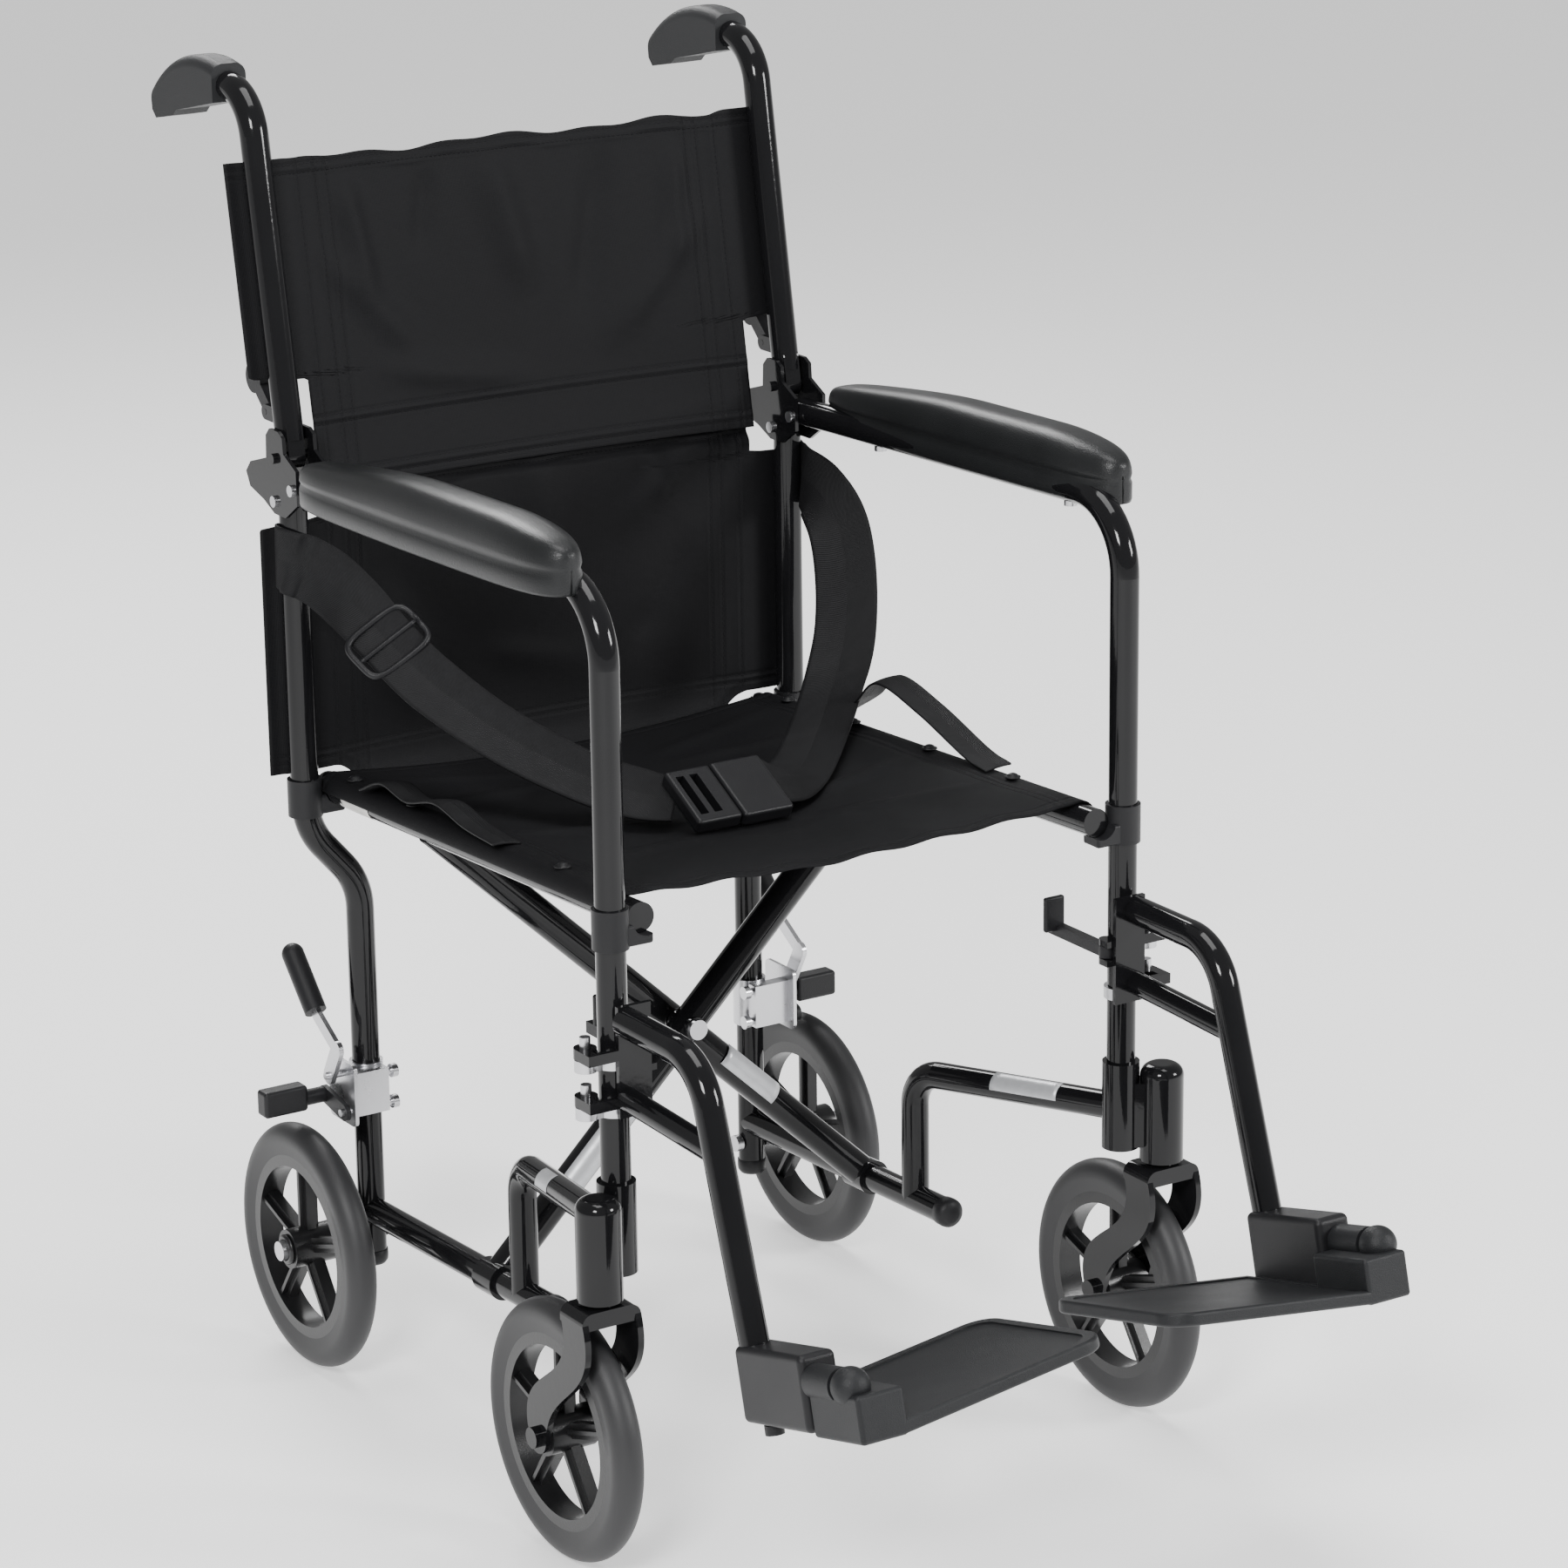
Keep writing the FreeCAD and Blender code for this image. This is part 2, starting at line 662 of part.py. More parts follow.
def caster_fork():
    """Caster fork: stem, crown, two curved legs trailing to the axle, and the axle bolt."""
    pivot = V(-front_track_half, caster_y, 0)
    thick = size("crown_thickness")
    inner = size("hub_half_length") + gap
    outer = inner + size("fork_thickness")
    x = pivot.x
    crown = block((x - outer, pivot.y - 16, crown_z), (x + outer, pivot.y + 16, crown_z + thick))
    crown = softened(crown, 9, lambda e: e.BoundBox.YMax - e.BoundBox.YMin > 20
                     and e.BoundBox.ZMin > crown_z + thick - 1 and abs(e.CenterOfMass.x - x) > 5)
    pieces = [crown]
    front_edge = [(pivot.y - 16, crown_z + 5), (pivot.y - 10, crown_z - 40), (front_centre.y - 30, axle_z + 34),
                  (front_centre.y - 13, axle_z - 1)]
    rear_edge = [(front_centre.y + 13, axle_z + 4), (front_centre.y + 6, axle_z + 36),
                 (pivot.y + 21, crown_z - 36), (pivot.y + 16, crown_z + 5)]
    for low in (-outer, inner):
        pieces.append(curved_leg(front_edge, rear_edge, x + low, x + low + size("fork_thickness")))
        pieces.append(Part.makeCylinder(13, size("fork_thickness"), V(x + low, front_centre.y, axle_z), X_AXIS))
    stem_foot = V(x, pivot.y, crown_z + thick - 1)
    pieces.append(Part.makeCylinder(size("stem_radius"), 62, stem_foot))
    pieces.append(Part.makeCylinder(11, housing_foot - crown_z - thick - gap + 1, stem_foot))
    axle = [V(x - outer - 5, front_centre.y, axle_z), V(x + outer + 5, front_centre.y, axle_z)]
    pieces.append(bar(axle[0], axle[1], size("axle_radius")))
    for end, inward in ((axle[0], X_AXIS), (axle[1], X_AXIS * -1)):
        pieces.append(bar(end, end + inward * 5, 8))
    return fuse(pieces)


keep_pair("caster_fork", caster_fork())


# ---------------------------------------------------------------- wheel locks
lock_x = -lock_plate_half
lever_axis = (rear_y - 8, lock_z + 16)
shoe_axis = (rear_y - 22, lock_z - 12)
shoe_centre = (rear_y + size("lock_shoe_offset"), lock_z - size("lock_shoe_drop"))


def lock_bracket():
    """Clamp band on the rear leg with the lock's side plate and its bolts."""
    band_z = lock_z - 20
    post = V(leg, rear_y, band_z)
    band = Part.makeCylinder(tube_r + 2.5, 40, post).cut(rear_rod)
    plate = block((lock_x, rear_y - 31, band_z - 4), (lock_x + 3, rear_y + 13, band_z + 48))
    plate = softened(plate, 5, lambda e: abs(e.BoundBox.XMax - e.BoundBox.XMin - 3) < 0.1)
    bolts = []
    for height in (band_z + 7, band_z + 33):
        bolts.append(bar(V(lock_x, rear_y - 18, height), V(leg + 16, rear_y - 18, height), 3))
        bolts.append(bar(V(leg + 12, rear_y - 18, height), V(leg + 17, rear_y - 18, height), 5.5))
    ears = block((lock_x + 2, rear_y - 23, band_z + 2), (leg + 8, rear_y - 12, band_z + 38)).cut(rear_rod)
    pins = [
        bar(V(lock_x - 14, *lever_axis), V(lock_x + 1, *lever_axis), 3),
        bar(V(lock_x - 9, *shoe_axis), V(lock_x + 1, *shoe_axis), 3),
    ]
    return fuse([band, plate, ears] + bolts + pins)


def lock_lever():
    """Bent lock lever between its pivot and the hand grip."""
    low_x = lock_x - 11.5
    high_x = lock_x - 7.5
    bends = [(rear_y - 23, lock_z + 42), (rear_y + 10, lock_z + 62), (rear_y + 25, lock_z + 78)]
    shape = fuse([
        link(lever_axis, bends[0], 7, low_x, high_x),
        link(bends[0], bends[1], 5.5, low_x, high_x),
        link(bends[1], bends[2], 5.5, low_x, high_x),
    ])
    return shape.cut(bar(V(low_x - 9, *lever_axis), V(high_x + 9, *lever_axis), 3 + turn_gap))


def lock_grip():
    """Rounded plastic grip on the lock lever."""
    x = lock_x - 9.5
    start = V(x, rear_y + 12, lock_z + 64)
    end = V(x, rear_y + 48, lock_z + 102)
    grip = fuse([bar(start, end, 9.0), Part.makeSphere(9.0, end)])
    return grip.cut(lock_lever())


def lock_shoe():
    """Arm and cross bar that press on the rear tyre."""
    low_x = lock_x - 6.5
    arm = link(shoe_axis, shoe_centre, 7, low_x, low_x + 4)
    start = V(low_x + 1, *shoe_centre)
    stem = bar(start, start - X_AXIS * 24, size("lock_shoe_radius") - 3)
    y, z = shoe_centre
    pad = block((start.x - 56, y - 8, z - size("lock_shoe_radius") + 1), (start.x - 18, y + 8, z + 13))
    hole = bar(V(low_x - 30, *shoe_axis), V(low_x + 30, *shoe_axis), 3 + turn_gap)
    return fuse([arm, stem, softened(pad, 3)]).cut(hole)


keep_pair("lock_bracket", lock_bracket())
keep_pair("lock_lever", lock_lever())
keep_pair("lock_grip", lock_grip())
keep_pair("lock_shoe", lock_shoe())


# ---------------------------------------------------------------- swing-away footrests
swing_x = -swing_half
slope = size("hanger_slope")
hanger_start = post_y - tube_r - 8


def hanger_y(height):
    """Depth of the sloping hanger tube at a height."""
    return hanger_corner - slope * (size("hanger_top") - height)


def hanger():
    """Footrest hanger: bent main tube, lower strut, hook plate and two pivot lugs."""
    main = [
        V(side, hanger_start, size("hanger_top")),
        V(side, hanger_corner, size("hanger_top")),
        V(side, hanger_y(size("hanger_foot")), size("hanger_foot")),
    ]
    lower = [V(side, hanger_start, size("hanger_lower")),
             V(side, hanger_y(size("hanger_lower") - 4), size("hanger_lower") - 4)]
    outer = fuse([rod(main, size("hanger_bend_radius"), tube_r), bar(lower[0], lower[1], 9.0)])
    outer = outer.cut([rod(main, size("hanger_bend_radius"), tube_r - wall),
                       bar(lower[0], lower[1], 9.0 - wall)])
    low_z = size("hanger_lower") - 14
    high_z = size("hanger_top") + 12
    strap = block((side - 7, hanger_start - 1, low_z), (side + 20, hanger_start + 3, high_z))
    lugs = []
    for height in (size("hanger_lower") - 6, size("hanger_top") - 28):
        eye = V(swing_x, post_y, height)
        lugs.append(Part.makeCylinder(8.5, 8, eye))
        lugs.append(block((swing_x - 8.5, hanger_start - 1, height), (swing_x, post_y, height + 8)))
        lugs.append(block((swing_x - 8.5, hanger_start - 1, height), (side, hanger_start + 3, height + 8)))
    latch_pin = V(-latch_half, hanger_start + 11, size("latch_height"))
    for height in (-5.5, 9.5):
        lug = latch_pin + Z_AXIS * height
        lugs.append(Part.makeCylinder(6, 5, lug))
        lugs.append(block((lug.x - 6, hanger_start + 2, lug.z), (lug.x + 6, lug.y, lug.z + 5)))
    lugs.append(Part.makeCylinder(2.5, 18, latch_pin - Z_AXIS * 4))
    pin = bar(V(swing_x, post_y, 300), V(swing_x, post_y, 500), 4 + turn_gap)
    return fuse([outer, strap] + lugs).cut(pin)


def hanger_pins():
    """Two clamps on the front post that carry the hanger's vertical pivot pins."""
    pieces = []
    for height in (size("hanger_lower") - 16, size("hanger_top") - 38):
        collar = Part.makeCylinder(tube_r + 2.6, 9, V(side, post_y, height))
        arm = block((swing_x, post_y - 6, height), (side, post_y + 8, height + 9))
        eye = Part.makeCylinder(8, 9, V(swing_x, post_y, height))
        pin = Part.makeCylinder(4, 26, V(swing_x, post_y, height))
        pieces.append(fuse([collar, arm, eye, pin]).cut(front_rod))
    return Part.makeCompound(pieces)


def hanger_latch():
    """Latch bar beside the front post with its thumb tab."""
    x = -latch_half
    z = size("latch_height")
    pin = V(x, hanger_start + 11, z)
    strike = block((x - 4, pin.y, z), (x + 4, post_y + 66, z + 9))
    tab = softened(block((x - 4, post_y + 52, z + 4), (x + 14, post_y + 57, z + 32)), 2)
    eye = Part.makeCylinder(6, 9, pin)
    hole = Part.makeCylinder(2.5 + turn_gap, 30, pin - Z_AXIS * 10)
    return fuse([strike, eye, tab]).cut(hole)


keep_pair("footrest_hanger", hanger())
keep_pair("hanger_latch", hanger_latch())

rise = math.radians(size("foot_axis_rise"))
foot_height = size("hanger_foot") + 8
foot_origin = V(side - 3, hanger_y(foot_height), foot_height)
foot_axis = V(0, -math.cos(rise), math.sin(rise))


def in_foot_frame(shape):
    """Place a shape made along +X outboard-to-inboard, +Y forward and +Z up on the foot axis."""
    turn = FreeCAD.Rotation(X_AXIS, -size("foot_axis_rise")).multiply(FreeCAD.Rotation(Z_AXIS, 180))
    return shape.transformed(FreeCAD.Placement(foot_origin, turn).toMatrix(), True)


def footplate_block():
    """Moulded block on the hanger's end that carries the footplate's pivot, with the pivot pin."""
    half = size("foot_block_width") / 2
    body = softened(block((-half - 4, -9, -36), (half - 4, size("foot_block_length") - 9, 19)), 5)
    pin = bar(V(0, 40, 0), V(0, size("foot_block_length") + 42, 0), 5)
    screw = bar(V(0, 14, -44), V(0, 14, -37), 7)
    placed = in_foot_frame(fuse([body, pin, screw]))
    main = bar(V(side, hanger_y(300), 300), V(side, hanger_y(150), 150), tube_r)
    stub = bar(V(side, hanger_y(300), 300), V(side, hanger_y(size("hanger_foot")), size("hanger_foot")),
               tube_r)
    return placed.cut(stub.common(main))


def footplate():
    """Tread plate with raised ribs, hinge barrel and its ball knob."""
    start = size("foot_block_length") - 9 + gap
    barrel = bar(V(0, start, 0), V(0, start + 34, 0), 12.5)
    knob = Part.makeSphere(size("foot_knob_radius"), V(0, start + 44, 0))
    width = size("plate_width")
    length = size("plate_length")
    drop = size("plate_drop")
    inner = size("foot_block_width") / 2 + 6
    rear = -12.0
    thick = size("plate_thickness")
    plate = block((-inner - length, rear, -drop - thick), (-inner, rear + width, -drop))
    plate = softened(plate, 22, lambda e: e.BoundBox.ZMax - e.BoundBox.ZMin > 5
                     and e.CenterOfMass.x < -inner - 20)
    plate = softened(plate, 2.5, lambda e: e.BoundBox.ZMax - e.BoundBox.ZMin < 0.1)
    tread = block((-inner - length + 9, rear + 9, -drop - 1.2), (-inner - 7, rear + width - 9, -drop + 1))
    tread = softened(tread, 16, lambda e: e.BoundBox.ZMax - e.BoundBox.ZMin > 1
                     and e.CenterOfMass.x < -inner - 20)
    plate = plate.cut(tread)
    plate.rotate(V(-inner, 0, -drop), Y_AXIS, size("plate_tilt"))
    arm = softened(block((-inner - 8, start + 1, -drop - thick), (9, rear + width, -4)), 3)
    hole = bar(V(0, 0, 0), V(0, start + 52, 0), 5 + turn_gap)
    return in_foot_frame(fuse([barrel, knob, plate, arm]).cut(hole))


keep_pair("footplate_block", footplate_block())
keep_pair("footplate", footplate())


# ---------------------------------------------------------------- fasteners on each side frame
def frame_fasteners():
    """Rear axle bolt, hinge rivets and armrest screws of one side frame."""
    pieces = []
    inner = leg + tube_r
    hub_in = rear_centre.x + size("hub_half_length")
    hub_out = rear_centre.x - size("hub_half_length")
    axle = fuse([
        bar(V(hub_out - 8, rear_y, axle_z), V(inner + 5, rear_y, axle_z), size("axle_radius")),
        bar(V(hub_out - 8, rear_y, axle_z), V(hub_out - gap, rear_y, axle_z), 8),
        bar(V(hub_in + gap, rear_y, axle_z), V(leg - tube_r - 0.2, rear_y, axle_z), 7),
        bar(V(inner + 0.2, rear_y, axle_z), V(inner + 6, rear_y, axle_z), 7),
    ])
    pieces.append(axle)
    for point in ((hinge[0] - 27, hinge[1] - 20), (hinge[0] + 2, hinge[1] - 34)):
        for low, high in ((-cheek_out - 2.5, -cheek_out), (cheek_out, cheek_out + 2.5)):
            pieces.append(bar(V(side + low, *point), V(side + high, *point), 4.5))
    for depth in (pad_front + 50, pad_rear - 86):
        head = V(side, depth, arm_z_at(depth) - tube_r - 3)
        pieces.append(bar(head, head + Z_AXIS * 4, 5).cut(front_rod))
    return Part.makeCompound(pieces + hanger_pins().Solids)


keep_pair("frame_fasteners", frame_fasteners())


# ---------------------------------------------------------------- upholstery and belt
def seat_sling():
    """Seat fabric over the two seat rails, hanging in a shallow arc between them."""
    half = seat_rail_half + tube_r - 1
    inner = seat_rail_half - tube_r - 1
    low_z = seat_z + tube_r + gap
    depth = sling_front
    edges = []
    for z in (low_z, low_z + size("sling_thickness")):
        ends = [V(-half, depth, z), V(-inner, depth, z), V(inner, depth, z), V(half, depth, z)]
        edges.append(Part.LineSegment(ends[0], ends[1]).toShape())
        edges.append(Part.Arc(ends[1], V(0, depth, z - size("sling_sag")), ends[2]).toShape())
        edges.append(Part.LineSegment(ends[2], ends[3]).toShape())
    for x in (-half, half):
        edges.append(Part.LineSegment(V(x, depth, low_z), V(x, depth, low_z + size("sling_thickness"))).toShape())
    outline = Part.Wire(Part.__sortEdges__(edges))
    return tilt(Part.Face(outline).extrude(Y_AXIS * (sling_rear - depth)))


def back_panel(low, high, wing_low, wing_high):
    """One part of the back fabric: a web between two (y, z) points, wider where it is sewn to the posts."""
    thick = size("back_thickness")
    run = (high[0] - low[0]) / (high[1] - low[1])

    def slab(bottom, top, half):
        """The part of the web between two heights."""
        near = [low[0] + (z - low[1]) * run for z in (bottom, top)]
        outline = [(near[0], bottom), (near[1], top), (near[1] + thick, top), (near[0] + thick, bottom)]
        return side_plate(outline, -half, half)

    return fuse([slab(low[1], high[1], back_half),
                 slab(wing_low, wing_high, back_wing_half)])


buckle_middle = buckle_base + size("buckle_width") / 2 * math.sin(math.radians(size("buckle_lean")))


def belt_strap(sign):
    """Half of the lap belt, from the rear post down to the seat."""
    half = size("belt_width") / 2
    start = V(sign * (-side - 22), rear_y - 37, notch_foot - 52)
    end = V(size("buckle_centre") + sign * 50, size("buckle_depth") + 14, buckle_middle + 6)
    along = unit(end - start)
    across = unit(Z_AXIS.cross(along))
    corners = [start - across * half, end - across * half, end + across * half, start + across * half]
    face = Part.Face(Part.makePolygon(corners + corners[:1]))
    return face.extrude(unit(along.cross(across)) * size("belt_thickness"))


keep("seat_sling", seat_sling())
seam_z = hinge_z
behind = tube_r + gap
keep("back_panel_upper", back_panel(
    (cane_y(seam_z + 3) + behind + 0.3, seam_z + 3), (cane_y(back_top) + behind + 0.3, back_top),
    notch_top, back_top))
keep("back_panel_lower", back_panel(
    (rear_y + behind, back_bottom), (rear_y + behind, seam_z - 1),
    back_bottom, notch_foot))
keep("right_belt_strap", belt_strap(-1))
keep("left_belt_strap", belt_strap(1))


def leaned(shape):
    """Put a buckle half made flat about the origin in its place, its rear edge raised."""
    place = V(size("buckle_centre"), size("buckle_depth"), buckle_middle)
    turn = FreeCAD.Rotation(X_AXIS, size("buckle_lean"))
    return shape.transformed(FreeCAD.Placement(place, turn).toMatrix(), True)


def buckle_socket():
    """Receiving half of the side-release buckle."""
    half = size("buckle_width") / 2
    thick = size("buckle_thickness")
    body = softened(block((-2, -half, 0), (42, half, thick)), 3)
    return leaned(body.cut(block((-4, -half + 10, 3), (28, half - 10, thick - 3))))


def buckle_tongue():
    """Tongue half of the buckle, pushed into the socket."""
    half = size("buckle_width") / 2 - 1
    thick = size("buckle_thickness")
    body = softened(block((-42, -half, 0), (-3, half, thick)), 3)
    slots = [block((low, -half + 8, -1), (low + 7, half - 8, thick + 1)) for low in (-36, -24)]
    return leaned(fuse([body.cut(slots), block((-10, -half + 12, 4), (24, half - 12, thick - 4))]))


keep("buckle_socket", buckle_socket())
keep("buckle_tongue", buckle_tongue())


# ---------------------------------------------------------------- checks and export
doc.recompute()
for item in doc.Objects:
    bad = [state for state in item.State if state in ("Invalid", "Error")]
    if bad:
        raise RuntimeError("%s did not compute: %s" % (item.Label, bad))

os.makedirs("parts", exist_ok=True)
for piece in NODES:
    shape = piece.Shape
    if shape.isNull() or not shape.isValid() or not shape.Solids:
        raise RuntimeError("%s has no valid solid" % piece.Label)
    shape.exportStep(os.path.join("parts", piece.Label + ".step"))
print(len(NODES), "nodes written")
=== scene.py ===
"""Looks of a folding transport wheelchair: enamelled tube frame, nylon upholstery, moulded arm pads.

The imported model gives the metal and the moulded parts. This script replaces its plain cloth and pad
solids with sewn and moulded ones, adds screws, labels and webbing loops, and dresses every piece.
Lengths are in metres, +Z is up, the chair faces -Y and the occupant's right side is at -X.
"""

import enum
import logging
import math
from dataclasses import dataclass, field
from typing import Any, Sequence

import bpy
import numpy as np
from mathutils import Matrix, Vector


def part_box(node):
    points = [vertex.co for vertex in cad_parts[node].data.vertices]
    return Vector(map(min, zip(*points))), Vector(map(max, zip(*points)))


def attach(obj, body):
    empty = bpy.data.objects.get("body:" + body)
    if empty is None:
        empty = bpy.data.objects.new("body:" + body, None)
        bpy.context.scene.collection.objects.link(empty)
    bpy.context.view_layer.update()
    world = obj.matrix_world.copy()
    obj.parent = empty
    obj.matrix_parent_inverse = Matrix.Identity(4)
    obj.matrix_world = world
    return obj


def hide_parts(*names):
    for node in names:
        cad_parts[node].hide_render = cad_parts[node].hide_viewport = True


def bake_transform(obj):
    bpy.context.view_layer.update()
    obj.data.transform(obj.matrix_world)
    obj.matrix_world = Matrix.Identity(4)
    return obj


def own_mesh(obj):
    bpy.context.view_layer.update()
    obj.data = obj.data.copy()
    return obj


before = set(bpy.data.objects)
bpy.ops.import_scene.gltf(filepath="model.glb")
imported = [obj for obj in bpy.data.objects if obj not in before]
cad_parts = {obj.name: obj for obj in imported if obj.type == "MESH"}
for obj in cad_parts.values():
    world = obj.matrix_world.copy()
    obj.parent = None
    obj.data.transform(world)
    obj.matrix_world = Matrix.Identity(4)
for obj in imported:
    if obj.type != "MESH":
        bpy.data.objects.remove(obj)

LOG = logging.getLogger("wheelchair")
Array = np.ndarray


# ------------------------------------------------------------------------------- shader graphs
class Signal:
    """A shader socket that takes part in Python arithmetic."""

    def __init__(self, graph: "Graph", socket: bpy.types.NodeSocket) -> None:
        """Hold the graph that owns the socket, and the socket."""
        self.graph = graph
        self.socket = socket

    def _math(self, operation: str, first: Any, second: Any) -> "Signal":
        """Add a Math node.

        Args:
            operation: the Math node's operation.
            first: the first value or signal.
            second: the second value or signal.

        Returns:
            The node's result.
        """
        return self.graph.node("ShaderNodeMath", {"operation": operation}, {0: first, 1: second})

    def __add__(self, other: Any) -> "Signal":
        """Return self + other."""
        return self._math("ADD", self, other)

    __radd__ = __add__

    def __sub__(self, other: Any) -> "Signal":
        """Return self - other."""
        return self._math("SUBTRACT", self, other)

    def __rsub__(self, other: Any) -> "Signal":
        """Return other - self."""
        return self._math("SUBTRACT", other, self)

    def __mul__(self, other: Any) -> "Signal":
        """Return self * other."""
        return self._math("MULTIPLY", self, other)

    __rmul__ = __mul__

    def __pow__(self, other: Any) -> "Signal":
        """Return self raised to other."""
        return self._math("POWER", self, other)

    def __abs__(self) -> "Signal":
        """Return the size of self without its sign."""
        return self._math("ABSOLUTE", self, 0.0)

    def __lt__(self, other: Any) -> "Signal":
        """Return 1 where self is below other, else 0."""
        return self._math("LESS_THAN", self, other)

    def __gt__(self, other: Any) -> "Signal":
        """Return 1 where self is above other, else 0."""
        return self._math("GREATER_THAN", self, other)

    def wave(self, period: float) -> "Signal":
        """Return a sine of self, from 0 to 1, with the given period."""
        return self._math("SINE", self * (2 * math.pi / period), 0.0) * 0.5 + 0.5

    def within(self, centre: float, reach: float) -> "Signal":
        """Return a soft bump, 1 at the centre and 0 beyond the reach."""
        fall = abs(self - centre) * (1 / reach)
        return self._math("MAXIMUM", 1 - fall, 0.0)


class Graph:
    """The node tree of one material."""

    def __init__(self, name: str) -> None:
        """Make an empty material with a Principled shader and its output."""
        self.material = bpy.data.materials.new(name)
        self.material.use_nodes = True
        self.tree = self.material.node_tree
        self.tree.nodes.clear()
        self.shader = self.tree.nodes.new("ShaderNodeBsdfPrincipled")
        output = self.tree.nodes.new("ShaderNodeOutputMaterial")
        self.tree.links.new(self.shader.outputs["BSDF"], output.inputs["Surface"])

    def feed(self, socket: bpy.types.NodeSocket, value: Any) -> None:
        """Set a socket to a value, or link a signal to it."""
        if isinstance(value, Signal):
            self.tree.links.new(value.socket, socket)
        else:
            socket.default_value = value

    def node(self, kind: str, settings: dict[str, Any], inputs: dict[Any, Any], out: Any = 0) -> Signal:
        """Add any node.

        Args:
            kind: the node's type name.
            settings: attributes set before the inputs; "stops" holds a ramp's stops.
            inputs: socket name or number to a value or a signal.
            out: the output to hand back.

        Returns:
            The chosen output.
        """
        made = self.tree.nodes.new(kind)
        for key, value in settings.items():
            if key == "stops":
                ramp = made.color_ramp
                for element, (place, colour) in zip(ramp.elements, value):
                    element.position = place
                    element.color = (*colour, 1.0)
            else:
                setattr(made, key, value)
        for key, value in inputs.items():
            self.feed(made.inputs[key], value)
        return Signal(self, made.outputs[out])

    def place(self) -> Signal:
        """Return the Object coordinates."""
        return self.node("ShaderNodeTexCoord", {}, {}, "Object")

    def noise(self, where: Signal, scale: float, detail: float = 3.0) -> Signal:
        """Return a noise value around 0.5 at the given scale."""
        return self.node("ShaderNodeTexNoise", {}, {"Vector": where, "Scale": scale, "Detail": detail})

    def stretched(self, where: Signal, factors: Sequence[float]) -> Signal:
        """Return coordinates scaled on each axis."""
        return self.node("ShaderNodeMapping", {}, {"Vector": where, "Scale": tuple(factors)})

    def blend(self, factor: Signal, low: Sequence[float], high: Sequence[float]) -> Signal:
        """Return a colour between two colours, low where factor is 0."""
        return self.node(
            "ShaderNodeMix",
            {"data_type": "RGBA"},
            {0: factor, 6: (*low, 1.0), 7: (*high, 1.0)},
            2,
        )

    def bump(self, height: Signal, distance: float, strength: float = 1.0,
             over: Signal | None = None) -> Signal:
        """Return a normal bumped by a height, over an earlier bump where one is given."""
        inputs: dict[Any, Any] = {"Height": height, "Distance": distance, "Strength": strength}
        if over is not None:
            inputs["Normal"] = over
        return self.node("ShaderNodeBump", {}, inputs)

    def finish(self, **sockets: Any) -> bpy.types.Material:
        """Feed the shader's sockets and return the material; underscores stand for spaces."""
        for key, value in sockets.items():
            self.feed(self.shader.inputs[key.replace("_", " ")], value)
        return self.material


# ------------------------------------------------------------------------------- finishes
@dataclass(frozen=True)
class Enamel:
    """Glossy baked enamel on steel tube, with a faint orange peel and dust."""

    name: str = "gloss_black_enamel"
    colour: tuple[float, float, float] = (0.0045, 0.0045, 0.005)
    roughness: float = 0.10

    def build(self) -> bpy.types.Material:
        """Return the material."""
        graph = Graph(self.name)
        where = graph.place()
        peel = graph.noise(where, 260.0, 2.0)
        dust = graph.noise(where, 14.0, 5.0)
        return graph.finish(
            Base_Color=graph.blend(dust, self.colour, tuple(c * 1.9 for c in self.colour)),
            Roughness=dust * 0.06 + (self.roughness - 0.03),
            Specular_IOR_Level=0.20,
            Coat_Weight=0.16,
            Coat_Roughness=0.03,
            Normal=graph.bump(peel, 0.00012, 0.35),
        )


@dataclass(frozen=True)
class Moulding:
    """Moulded plastic or skinned foam with a pebbled grain."""

    name: str
    colour: tuple[float, float, float]
    roughness: float
    grain: float
    depth: float
    coat: float = 0.0

    def build(self) -> bpy.types.Material:
        """Return the material."""
        graph = Graph(self.name)
        where = graph.place()
        pebbles = graph.node("ShaderNodeTexVoronoi", {}, {"Vector": where, "Scale": self.grain})
        tone = graph.noise(where, 22.0, 4.0)
        return graph.finish(
            Base_Color=graph.blend(tone, self.colour, tuple(c * 1.5 for c in self.colour)),
            Roughness=tone * 0.14 + (self.roughness - 0.07),
            Specular_IOR_Level=0.26,
            Coat_Weight=self.coat,
            Coat_Roughness=0.25,
            Normal=graph.bump(pebbles, self.depth, 0.6),
        )


@dataclass(frozen=True)
class Rubber:
    """Solid tyre rubber with a dry bloom."""

    name: str = "tyre_rubber"
    colour: tuple[float, float, float] = (0.013, 0.013, 0.014)

    def build(self) -> bpy.types.Material:
        """Return the material."""
        graph = Graph(self.name)
        where = graph.place()
        bloom = graph.noise(where, 9.0, 6.0)
        pores = graph.noise(where, 900.0, 2.0)
        return graph.finish(
            Base_Color=graph.blend(bloom, self.colour, tuple(c * 1.7 for c in self.colour)),
            Roughness=bloom * 0.2 + 0.42,
            Normal=graph.bump(pores, 0.0002, 0.5),
        )


@dataclass(frozen=True)
class Plating:
    """Bright zinc plating with fine drawn lines."""

    name: str
    colour: tuple[float, float, float]
    roughness: float

    def build(self) -> bpy.types.Material:
        """Return the material."""
        graph = Graph(self.name)
        where = graph.place()
        cloud = graph.noise(where, 60.0, 4.0)
        lines = graph.noise(graph.stretched(where, (900.0, 900.0, 60.0)), 1.0, 2.0)
        return graph.finish(
            Base_Color=graph.blend(cloud, tuple(c * 0.8 for c in self.colour), self.colour),
            Metallic=1.0,
            Roughness=cloud * 0.18 + (self.roughness - 0.08),
            Normal=graph.bump(lines, 0.0001, 0.25),
        )


